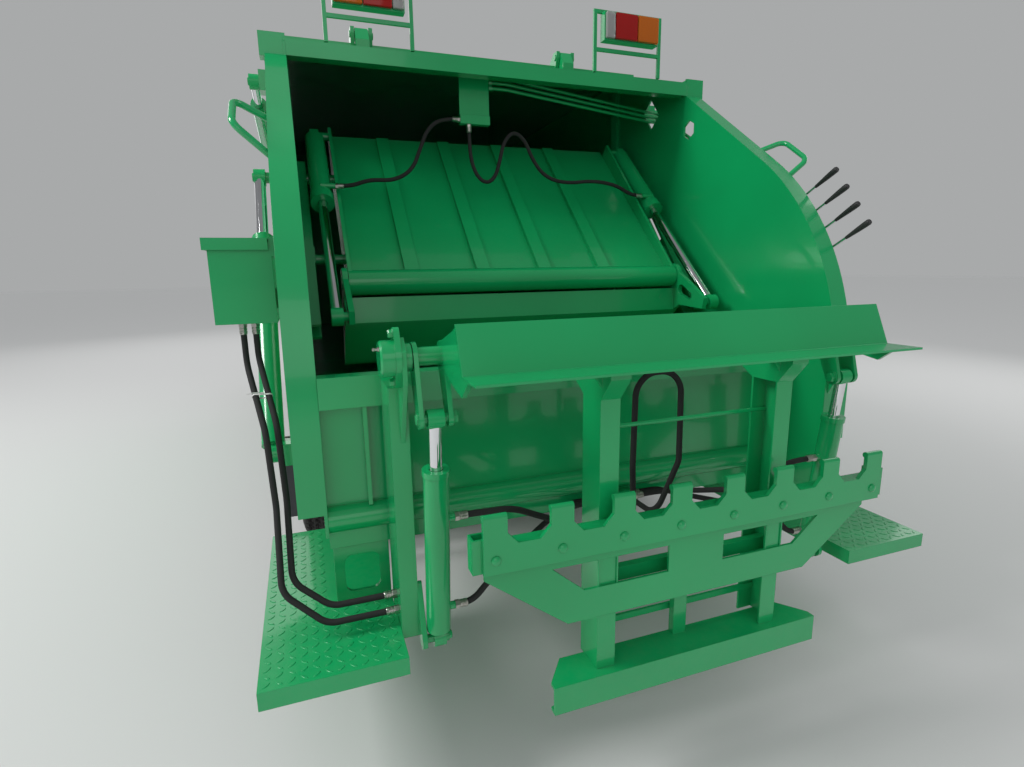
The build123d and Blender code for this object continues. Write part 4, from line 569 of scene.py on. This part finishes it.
class RearLoaderCabFinish(bpy.types.Operator):
    """Paint the cab and its doors, glaze it and finish its inside"""
    bl_idname = "rear_loader.cab_finish"
    bl_label = "Cab finish"

    def execute(self, context):
        paint(["cab_shell", "door_right", "door_left", "front_bumper"], "cab_gloss")
        paint(["cab_glass", "door_glass_right", "door_glass_left"], "window_glass")
        paint(["cab_trim", "mirrors"], "black_plastic")
        paint(["dashboard"], "dash_plastic")
        paint(["seats"], "seat_weave")
        return {"FINISHED"}


# Tyres

# CAD node, body, the axle's Y, width of one tyre and the X of each
TYRE_ROWS = (
    ("front_tyre", "front_wheel", 6100, 225, (880,)),
    ("rear_tyres", "rear_wheels", 2150, 200, (745, 969)),
)
AXLE_Z = 400


class RearLoaderTyres(bpy.types.Operator):
    """Model the treaded tyres that stand for the plain ones"""
    bl_idname = "rear_loader.tyres"
    bl_label = "Tyres"

    def profile(self, half, s):
        """(distance across, radius, how far the tread pattern reaches) from one bead to the other."""
        rows = []
        low, shoulder = 0.2225, s.radius - 0.016
        for i in range(15):
            share = i / 14
            bulge = sin(share * radians(180)) ** 0.8 * 0.018
            rib = 0.0018 if i in (5, 6, 11) else 0.0
            rows.append((half - 0.022 + 0.008 * share + bulge * (1 - 0.35 * share) + rib,
                         low + (shoulder - low) * share, 0.0))
        rows.append((half - 0.020, s.radius - 0.007, 0.35))
        steps = 30
        for i in range(steps + 1):
            x = (half - 0.026) * (1 - i / steps)
            rows.append((x, s.radius - 0.004 * (x / half) ** 2 - 0.0005, 1.0))
        mirrored = [(-x, r, k) for x, r, k in rows[-2::-1]]
        return rows + mirrored

    def depth(self, x, turn, half, s):
        """Share of the groove's full depth at a place on the tread."""
        pitch = (turn * s.pitches / tau) % 1.0
        wave = 0.0045 * (1 if pitch < 0.5 else -1)
        deepest = 0.0
        for centre in (-0.52, -0.18, 0.18, 0.52):
            gap = abs(x - centre * half - wave)
            deepest = max(deepest, min(1.0, max(0.0, (0.0085 - gap) / 0.003)))
        if abs(x) > 0.55 * half:
            slot = abs(pitch - 0.25)
            deepest = max(deepest, min(1.0, max(0.0, (0.13 - slot) / 0.06)))
        return deepest

    def ring(self, centre, width, s):
        half = width / 2
        rows = self.profile(half, s)
        turns = s.pitches * 8
        verts, faces = [], []
        for i in range(turns):
            a = tau * i / turns
            for x, r, k in rows:
                radius = r - s.groove * k * self.depth(x, a, half, s)
                verts.append(centre + Vector((x, radius * cos(a), radius * sin(a))))
        across = len(rows)
        for i in range(turns):
            here, there = i * across, (i + 1) % turns * across
            for j in range(across - 1):
                faces.append((here + j, here + j + 1, there + j + 1, there + j))
            faces.append((here + across - 1, here, there, there + across - 1))
        return verts, faces

    def execute(self, context):
        s = context.scene.rl_tyre
        for node, body, y, width, places in TYRE_ROWS:
            for side, sign in SIDES:
                verts, faces = [], []
                for x in places:
                    ring_verts, ring_faces = self.ring(at(sign * x, y, AXLE_Z), width * MM, s)
                    faces += [tuple(len(verts) + k for k in face) for face in ring_faces]
                    verts += ring_verts
                mesh = bpy.data.meshes.new(f"tread_{node}_{side}")
                mesh.from_pydata(verts, [], faces)
                piece = added(f"tread_{node}_{side}", mesh)
                mesh.materials.append(bpy.data.materials["tread_rubber"])
                mesh.shade_smooth()
                mesh.set_sharp_from_angle(angle=radians(38))
                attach(piece, f"{body}_{side}")
                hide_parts(f"{node}_{side}")
        return {"FINISHED"}


# Seats

# Name, X of both edges, places side by side, and the CAD nodes it stands for
SEATS = (("driver", -798, -322, 1, ("seats",)), ("bench", -88, 748, 2, ()))


class RearLoaderSeats(bpy.types.Operator):
    """Pad the driver's seat and the two-place bench"""
    bl_idname = "rear_loader.seats"
    bl_label = "Seats"

    def pad(self, name, corners, thickness, panels, stand_for=()):
        """Pad over a quadrilateral: corners run round it, thickness is along its normal."""
        a, b, c, d = corners
        normal = (b - a).cross(d - a).normalized()
        across, along = 14 * panels, 12
        bm = bmesh.new()
        layers = []
        for level in (0, 1):
            grid = []
            for j in range(along + 1):
                row = []
                for i in range(across + 1):
                    u, v = i / across, j / along
                    flat = (a * (1 - u) + b * u) * (1 - v) + (d * (1 - u) + c * u) * v
                    edge = min(u * panels % 1.0, 1 - u * panels % 1.0) if 0 < i < across else 0.0
                    border = min(1.0, 9 * min(u, 1 - u) * panels, 9 * min(v, 1 - v))
                    rounding = (1 - (1 - border) ** 2) ** 0.5
                    crown = 0.62 + 0.28 * rounding + 0.10 * sin(min(edge, 0.3) / 0.3 * radians(90))
                    row.append(bm.verts.new(flat + normal * thickness * (crown if level else 0.02)))
                grid.append(row)
            layers.append(grid)
        for grid in layers:
            for j in range(along):
                for i in range(across):
                    bm.faces.new((grid[j][i], grid[j][i + 1], grid[j + 1][i + 1], grid[j + 1][i]))
        rim = [(0, i) for i in range(across)] + [(j, across) for j in range(along)]
        rim += [(along, across - i) for i in range(across)] + [(along - j, 0) for j in range(along)]
        for (j0, i0), (j1, i1) in zip(rim, rim[1:] + rim[:1]):
            bm.faces.new((layers[0][j0][i0], layers[0][j1][i1], layers[1][j1][i1], layers[1][j0][i0]))
        piece = place(name, bm, "cab", "seat_weave")
        if stand_for:
            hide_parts(*stand_for)

    def execute(self, context):
        for name, x0, x1, panels, stand_for in SEATS:
            self.pad(f"{name}_cushion", (at(x0, 5762, 1181), at(x1, 5762, 1181), at(x1, 6238, 1181),
                                         at(x0, 6238, 1181)), 0.126, panels, stand_for)
            self.pad(f"{name}_back", (at(x0, 5742, 1312), at(x0, 5654, 1838), at(x1, 5654, 1838),
                                      at(x1, 5742, 1312)), 0.098, panels)
        return {"FINISHED"}


# Hoses and their fittings

# Points of the packer's two hoses, from the roof block to the blade cylinder's port
PACKER_ROUTES = {
    "packer_hose_left": ((-205.3, 1630, 2140), (-290, 1630, 2140), (-365, 1616, 2085), (-405, 1606, 1990),
                         (-445, 1600, 1900), (-530, 1600, 1850), (-640, 1604, 1852), (-725, 1618, 1821),
                         (-789.7, 1618, 1821)),
    "packer_hose_right": ((-160, 1630, 2119.7), (-160, 1630, 2035), (-158, 1612, 1950), (-132, 1602, 1880),
                          (-86, 1600, 1852), (-42, 1600, 1884), (-18, 1600, 1960), (2, 1600, 2045),
                          (52, 1600, 2098), (112, 1600, 2062), (150, 1600, 1975), (215, 1600, 1895),
                          (330, 1600, 1866), (490, 1600, 1886), (630, 1604, 1868), (725, 1618, 1821),
                          (789.7, 1618, 1821)),
}

# Body, the point on the face that a hose end meets, the direction from it along the hose, and
# whether the other side has the same
FITTINGS = (
    ("lifter_side", "tailgate", ((631.7, 242.4, 800.6), (-1, 0, 0)), True),
    ("lifter_low", "tailgate", ((631.7, 274.2, 520.4), (-1, 0, 0)), True),
    ("block_high", "tailgate", ((60.3, 462, 667), (1, 0, 0)), True),
    ("block_low", "tailgate", ((60.3, 487, 667), (1, 0, 0)), True),
    ("loop_end", "tailgate", ((40, 449.7, 667), (0, -1, 0)), True),
    ("box_first", "tailgate", ((-1110, 760, 1299.7), (0, 0, -1)), False),
    ("box_second", "tailgate", ((-1145, 760, 1299.7), (0, 0, -1)), False),
    ("column_first", "tailgate", ((-779.3, 385, 525), (-1, 0, 0)), False),
    ("column_second", "tailgate", ((-779.3, 352, 494), (-1, 0, 0)), False),
    ("roof_left", "tailgate", ((-205.3, 1630, 2140), (-1, 0, 0)), False),
    ("roof_right", "tailgate", ((-160, 1630, 2119.7), (0, 0, -1)), False),
    ("blade_port", "blade_barrels", ((789.7, 1618, 1821), (-1, 0, 0)), True),
)


class RearLoaderPackerHoses(bpy.types.Operator):
    """Hang the packer's two hoses between the roof block and the blade cylinders"""
    bl_idname = "rear_loader.packer_hoses"
    bl_label = "Packer hoses"

    def execute(self, context):
        for name, route in PACKER_ROUTES.items():
            data = bpy.data.curves.new(name, "CURVE")
            data.dimensions = "3D"
            data.bevel_depth, data.bevel_resolution, data.resolution_u = 0.009, 4, 12
            data.use_fill_caps = True
            spline = data.splines.new("NURBS")
            spline.points.add(len(route) - 1)
            for point, where in zip(spline.points, route):
                point.co = (*at(*where), 1)
            spline.order_u = 3
            spline.use_endpoint_u = True
            hose = added(name, data)
            data.materials.append(bpy.data.materials["hose_rubber"])
            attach(hose, "tailgate")
            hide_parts("packer_hoses")
        return {"FINISHED"}


class RearLoaderHoseFittings(bpy.types.Operator):
    """Crimp a ferrule and a nut on each end of the hoses"""
    bl_idname = "rear_loader.hose_fittings"
    bl_label = "Hose fittings"

    def fitting(self, bm, where, direction):
        direction = Vector(direction)
        turned(bm, where, direction, [(0, 0.0130), (0.0115, 0.0130), (0.013, 0.0118)], 6)
        turned(bm, where + direction * 0.013, direction,
               [(0, 0.0108), (0.003, 0.0108), (0.004, 0.0116), (0.008, 0.0116), (0.009, 0.0106), (0.012, 0.0106),
                (0.013, 0.0116), (0.017, 0.0116), (0.018, 0.0106), (0.021, 0.0112), (0.023, 0.0098)], 24)

    def execute(self, context):
        for name, body, ((x, y, z), direction), mirrored in FITTINGS:
            bm = bmesh.new()
            self.fitting(bm, at(x, y, z), direction)
            if mirrored:
                self.fitting(bm, at(-x, y, z), (-direction[0], direction[1], direction[2]))
            place(f"fitting_{name}", bm, body, "zinc_plate")
        return {"FINISHED"}


# Corners of the middle one of three pipes: under the roof, out through the wall and down to the valves
PIPE_ROUTE = ((-59, 1630, 2312), (30, 1630, 2312), (925, 1787, 2264), (992, 1799, 2264), (992, 980, 1760))
PIPE_STEP = 24
PIPE_RADIUS = 0.0075
BEND_REACH, BEND_STEPS = 0.028, 6
# Where the nuts sit on the middle pipe, and their directions
PIPE_NUTS = ((-59, 1630, 2312), (1, 0, 0)), ((992, 980, 1760), (0, 0.852, 0.524))


class RearLoaderPipes(bpy.types.Operator):
    """Lay the three rigid pipes from the roof block to the control valves"""
    bl_idname = "rear_loader.pipes"
    bl_label = "Pipes"

    def rounded(self, corners):
        """Corners of a path with each inner one turned into an arc that starts some way before it."""
        points = [corners[0]]
        for before, here, after in zip(corners, corners[1:], corners[2:]):
            start = here + (before - here).normalized() * BEND_REACH
            end = here + (after - here).normalized() * BEND_REACH
            for i in range(BEND_STEPS + 1):
                t = i / BEND_STEPS
                points.append(start * (1 - t) ** 2 + here * 2 * t * (1 - t) + end * t ** 2)
        return points + [corners[-1]]

    def execute(self, context):
        pipes, clips = bmesh.new(), bmesh.new()
        for row in (-1, 0, 1):
            corners = [at(x, y, z + PIPE_STEP * row) for x, y, z in PIPE_ROUTE]
            swept(pipes, self.rounded(corners), PIPE_RADIUS, 12)
            for (x, y, z), direction in PIPE_NUTS:
                turned(pipes, at(x, y, z + PIPE_STEP * row), direction,
                       [(0, 0.0115), (0.016, 0.0115), (0.018, 0.0095)], 6)
        for y, z in ((1600, 2141.5), (1200, 1895.4)):
            soft_block(clips, at(960.5, y - 12, z - 38), at(1002, y + 12, z + 38), 0.003)
        place("roof_pipes", pipes, "tailgate")
        place("pipe_clips", clips, "tailgate")
        return {"FINISHED"}


# Middle of the side hoses where the tie holds them, and the way they run there
TIED_HOSES = ((-1084.1, 642.4, 1090), (-1121.2, 653.3, 1090))
TIED_RUN = (44, -200, -170)
# Corners of the band: distance from the hose's middle and along it
BAND = ((0.0094, -0.0024), (0.0108, -0.0024), (0.0108, 0.0024), (0.0094, 0.0024))
TIE_HEAD = Vector((0.0045, 0.004, 0.0035))


class RearLoaderCableTie(bpy.types.Operator):
    """Draw a white plastic tie round the two side hoses"""
    bl_idname = "rear_loader.cable_tie"
    bl_label = "Cable tie"

    def execute(self, context):
        run = Vector(TIED_RUN).normalized()
        first, second = (at(*place_of_hose) for place_of_hose in TIED_HOSES)
        side = (second - first) - run * run.dot(second - first)
        side.normalize()
        lift = run.cross(side)
        bm = bmesh.new()
        rings = []
        turns = [(second, radians(-90 + 15 * i)) for i in range(13)]
        turns += [(first, radians(90 + 15 * i)) for i in range(13)]
        for centre, turn in turns:
            out = side * cos(turn) + lift * sin(turn)
            rings.append([bm.verts.new(centre + out * reach + run * across) for reach, across in BAND])
        for low, high in zip(rings, rings[1:] + rings[:1]):
            for k in range(4):
                bm.faces.new((low[k], low[(k + 1) % 4], high[(k + 1) % 4], high[k]))
        head = first.lerp(second, 0.4) - lift * 0.0125
        soft_block(bm, head - TIE_HEAD, head + TIE_HEAD, 0.0008)
        tail = [head, head - lift * 0.010 + side * 0.008, head - lift * 0.016 + side * 0.022,
                head - lift * 0.018 + side * 0.038]
        swept(bm, tail, [0.0018, 0.0018, 0.0016, 0.0012], 6)
        place("cable_tie", bm, "tailgate", "white_plastic", smooth=False)
        return {"FINISHED"}


# Hardware

class RearLoaderPivotHardware(bpy.types.Operator):
    """Fit the lifter's bearing bolts, grease nipples, seal rings and the cranks' pin nuts"""
    bl_idname = "rear_loader.pivot_hardware"
    bl_label = "Pivot hardware"

    def execute(self, context):
        green, dark = bmesh.new(), bmesh.new()
        nuts, nipples = bmesh.new(), bmesh.new()
        for _, sign in SIDES:
            out = (sign, 0, 0)
            for y, z in ((257, 1297), (273, 1173)):
                hex_bolt(green, at(sign * 767, y, z), out, 0.019, 0.010)
            turned(dark, at(sign * 725.2, 265, 1235), (-sign, 0, 0),
                   [(0, 0.0335), (0.0012, 0.0335), (0.0012, 0.028), (0.0022, 0.028)], 40)
            turned(nipples, at(sign * 803, 243, 1262), out,
                   [(-0.002, 0.006), (0.004, 0.006), (0.005, 0.0035), (0.011, 0.0035), (0.013, 0.0048),
                    (0.015, 0.0045), (0.017, 0.0015)], 16)
            hex_bolt(nuts, at(sign * 723, 210, 1085), out, 0.024, 0.0045)
            hex_bolt(nuts, at(sign * 637, 210, 1085), (-sign, 0, 0), 0.030, 0.012)
            hex_bolt(green, at(sign * 654.7, 285, 425), (-sign, 0, 0), 0.022, 0.010)
        place("bearing_bolts", green, "tailgate")
        place("bearing_seals", dark, "tailgate", "black_plastic")
        place("grease_nipples", nipples, "tailgate", "zinc_plate")
        place("crank_nuts", nuts, "lifter")
        return {"FINISHED"}


# Body, the axle's Y, and the X of the hub's end and of the rim's disc
NUT_ROWS = (("front_wheel", 6100, 972, 927), ("rear_wheels", 2150, 1039, 871))
WHEEL_NUTS, NUT_CIRCLE = 8, 116


class RearLoaderWheelNuts(bpy.types.Operator):
    """Fit studs, nuts and hub covers to the wheels"""
    bl_idname = "rear_loader.wheel_nuts"
    bl_label = "Wheel nuts"

    def execute(self, context):
        for body, y, hub_x, disc_x in NUT_ROWS:
            for side, sign in SIDES:
                bm = bmesh.new()
                out = (sign, 0, 0)
                turned(bm, at(sign * (hub_x - 1), y, AXLE_Z), out,
                       [(0, 0.066), (0.010, 0.066), (0.014, 0.060), (0.022, 0.038)], 40)
                for i in range(WHEEL_NUTS):
                    a = tau * (i + 0.5) / WHEEL_NUTS
                    where = at(sign * disc_x, y + NUT_CIRCLE * cos(a), AXLE_Z + NUT_CIRCLE * sin(a))
                    turned(bm, where, out, [(0, 0.0165), (0.003, 0.0165)], 20)
                    turned(bm, where + Vector(out) * 0.003, out, [(0, 0.0135), (0.016, 0.0135), (0.019, 0.0105)], 6)
                    turned(bm, where + Vector(out) * 0.019, out, [(0, 0.0078), (0.009, 0.0078)], 12)
                place(f"wheel_nuts_{side}_{body}", bm, f"{body}_{side}", "casting_grey")
        return {"FINISHED"}


# Half length and half width of a lozenge, its foot under the plate and its crest over it
LOZENGE = (0.0145, 0.0042)
FOOT, CREST = Vector((0, 0, 0.0004)), Vector((0, 0, 0.0015))
PLATE_Z, PITCH = 450, 30


class RearLoaderCheckerPlate(bpy.types.Operator):
    """Raise the tread lozenges on the standing plates"""
    bl_idname = "rear_loader.checker_plate"
    bl_label = "Checker plate"

    def lozenge(self, bm, centre, turn):
        long_way = Vector((cos(turn), sin(turn), 0)) * LOZENGE[0]
        wide_way = Vector((-sin(turn), cos(turn), 0)) * LOZENGE[1]
        base, crest = [], []
        for share, half in ((-1, 0), (-0.5, 1), (0.5, 1), (1, 0), (0.5, -1), (-0.5, -1)):
            spot = long_way * share + wide_way * half
            base.append(bm.verts.new(centre + spot - FOOT))
            crest.append(bm.verts.new(centre + spot * 0.72 + CREST))
        bm.faces.new(crest)
        for i in range(6):
            bm.faces.new((base[i], base[(i + 1) % 6], crest[(i + 1) % 6], crest[i]))

    def execute(self, context):
        for side, sign in SIDES:
            bm = bmesh.new()
            for row in range(29):
                for column in range(12):
                    x, y = 800 + PITCH * column, 212 + PITCH * row
                    if x < 960 and y > 500:
                        continue
                    self.lozenge(bm, at(sign * x, y, PLATE_Z), radians(45 if (row + column) % 2 else -45))
            place(f"checker_{side}", bm, "tailgate", smooth=False)
        return {"FINISHED"}


class RearLoaderCabDetails(bpy.types.Operator):
    """Fit mirror faces, indicators and wipers"""
    bl_idname = "rear_loader.cab_details"
    bl_label = "Cab details"

    def execute(self, context):
        for side, sign in SIDES:
            bm = bmesh.new()
            low_x, high_x = sorted((sign * 1062, sign * 1228))
            soft_block(bm, at(low_x, 6884, 1496), at(high_x, 6889, 1804), 0.0018)
            place(f"mirror_face_{side}", bm, "cab", "mirror_face")
            bm = bmesh.new()
            low_x, high_x = sorted((sign * 868, sign * 948))
            soft_block(bm, at(low_x, 7160, 822), at(high_x, 7186, 930), 0.006, 3)
            place(f"indicator_{side}", bm, "cab", "lens_amber")
        bm = bmesh.new()
        for x in (-560, 120):
            turned(bm, at(x, 7165, 1462), (0, 1, 0.2), [(0, 0.014), (0.022, 0.014), (0.026, 0.008)], 20)
            swept(bm, [at(x, 7187, 1462), at(x + 370, 7106, 1654)], 0.0045, 8)
            swept(bm, [at(x + 150, 7164, 1520), at(x + 530, 7092, 1718)], 0.006, 8)
        place("wipers", bm, "cab", "black_plastic")
        return {"FINISHED"}


# Piece, its body and its beads: X, Y and the Z of both ends
WELDS = (
    ("welds_columns", "tailgate", ((729, 312, 460, 560), (741, 322, 1000, 1145))),
    ("welds_lifter", "lifter", ((300, 142, 604, 638), (302, 46, 560, 790), (247, 46, 560, 790),
                                (305, 236, 1215, 1262))),
)
BEAD_RADIUS, BEAD_STEP = 0.0032, 0.0035


class RearLoaderWelds(bpy.types.Operator):
    """Lay weld beads where the plates of the lifter's columns and of its frame meet"""
    bl_idname = "rear_loader.welds"
    bl_label = "Welds"

    def bead(self, bm, start, end):
        count = max(4, int((end - start).length / BEAD_STEP))
        points = [start.lerp(end, i / count) for i in range(count + 1)]
        swept(bm, points, [BEAD_RADIUS * (1.0 if i % 2 else 0.84) for i in range(count + 1)], 8)

    def execute(self, context):
        for name, body, beads in WELDS:
            bm = bmesh.new()
            for _, sign in SIDES:
                for x, y, low, high in beads:
                    self.bead(bm, at(sign * x, y, low), at(sign * x, y, high))
            place(name, bm, body)
        return {"FINISHED"}


class RearLoaderCombBolts(bpy.types.Operator):
    """Bolt the comb to its cradle, one bolt under each tooth"""
    bl_idname = "rear_loader.comb_bolts"
    bl_label = "Comb bolts"

    def execute(self, context):
        bm = bmesh.new()
        for i in range(8):
            turned(bm, at(-595 + 170 * i, 0, 786), (0, -1, 0),
                   [(0, 0.0125), (0.002, 0.0125), (0.005, 0.0105), (0.0075, 0.006), (0.0082, 0.0015)], 24)
        place("comb_bolts", bm, "lifter")
        return {"FINISHED"}


class RearLoaderLeverKnobs(bpy.types.Operator):
    """Put long black tapered grips on the four control levers"""
    bl_idname = "rear_loader.lever_knobs"
    bl_label = "Lever knobs"

    def execute(self, context):
        bm = bmesh.new()
        for i in range(4):
            y, z = 812 - 56 * i, 1726 - 72 * i
            start, end = at(1085, y - 105, z + 67), at(1085, y - 150, z + 93)
            length = (end - start).length
            turned(bm, start, end - start, [(-0.058, 0.0060), (-0.055, 0.0066), (0, 0.0102), (length * 0.6, 0.0116),
                                            (length - 0.002, 0.0118), (length + 0.003, 0.0095)], 20)
        place("lever_knobs", bm, "tailgate", "black_plastic")
        return {"FINISHED"}


# Lenses of a roof lamp: tint and the X of both edges
ROOF_LENSES = (("lens_clear", 474, 520), ("lens_red", 523, 640), ("lens_amber", 643, 756))


class RearLoaderLamps(bpy.types.Operator):
    """Fit the lenses of the roof lamps and the head lamps"""
    bl_idname = "rear_loader.lamps"
    bl_label = "Lamps"

    def execute(self, context):
        for side, sign in SIDES:
            for tint, x0, x1 in ROOF_LENSES:
                low_x, high_x = sorted((sign * x0, sign * x1))
                bm = bmesh.new()
                soft_block(bm, at(low_x, 1452, 2506), at(high_x, 1470, 2619), 0.006, 3)
                place(f"roof_{tint}_{side}", bm, "tailgate", tint)
            bm = bmesh.new()
            low_x, high_x = sorted((sign * 606, sign * 854))
            soft_block(bm, at(low_x, 7196, 806), at(high_x, 7212, 944), 0.007, 3)
            place(f"head_lens_{side}", bm, "cab", "lens_clear")
        return {"FINISHED"}


PIECES = (RearLoaderStage, RearLoaderEffects, RearLoaderPackerHoses, RearLoaderBodyPaint, RearLoaderChassisPaint,
          RearLoaderCabFinish, RearLoaderTyres, RearLoaderSeats, RearLoaderHoseFittings, RearLoaderPipes,
          RearLoaderCableTie, RearLoaderPivotHardware, RearLoaderWheelNuts, RearLoaderCheckerPlate,
          RearLoaderCabDetails, RearLoaderWelds, RearLoaderCombBolts, RearLoaderLeverKnobs, RearLoaderLamps)


class RearLoaderPanel(bpy.types.Panel):
    """Lists the settings and the steps that dress the truck"""
    bl_idname = "VIEW3D_PT_rear_loader"
    bl_label = "Rear loader"
    bl_space_type = "VIEW_3D"
    bl_region_type = "UI"
    bl_category = "Rear loader"

    def draw(self, context):
        for attribute, group in SETTINGS.items():
            column = self.layout.column(align=True)
            for name in group.__annotations__:
                column.prop(getattr(context.scene, attribute), name)
        for piece in PIECES:
            self.layout.operator(piece.bl_idname)


def register():
    for attribute, group in SETTINGS.items():
        bpy.utils.register_class(group)
        setattr(bpy.types.Scene, attribute, bpy.props.PointerProperty(type=group))
    for piece in PIECES:
        bpy.utils.register_class(piece)
    bpy.utils.register_class(RearLoaderPanel)


def unregister():
    bpy.utils.unregister_class(RearLoaderPanel)
    for piece in reversed(PIECES):
        bpy.utils.unregister_class(piece)
    for attribute, group in SETTINGS.items():
        delattr(bpy.types.Scene, attribute)
        bpy.utils.unregister_class(group)


def main():
    register()
    for piece in PIECES:
        getattr(bpy.ops.rear_loader, piece.bl_idname.split(".")[1])()


if __name__ == "__main__":
    main()
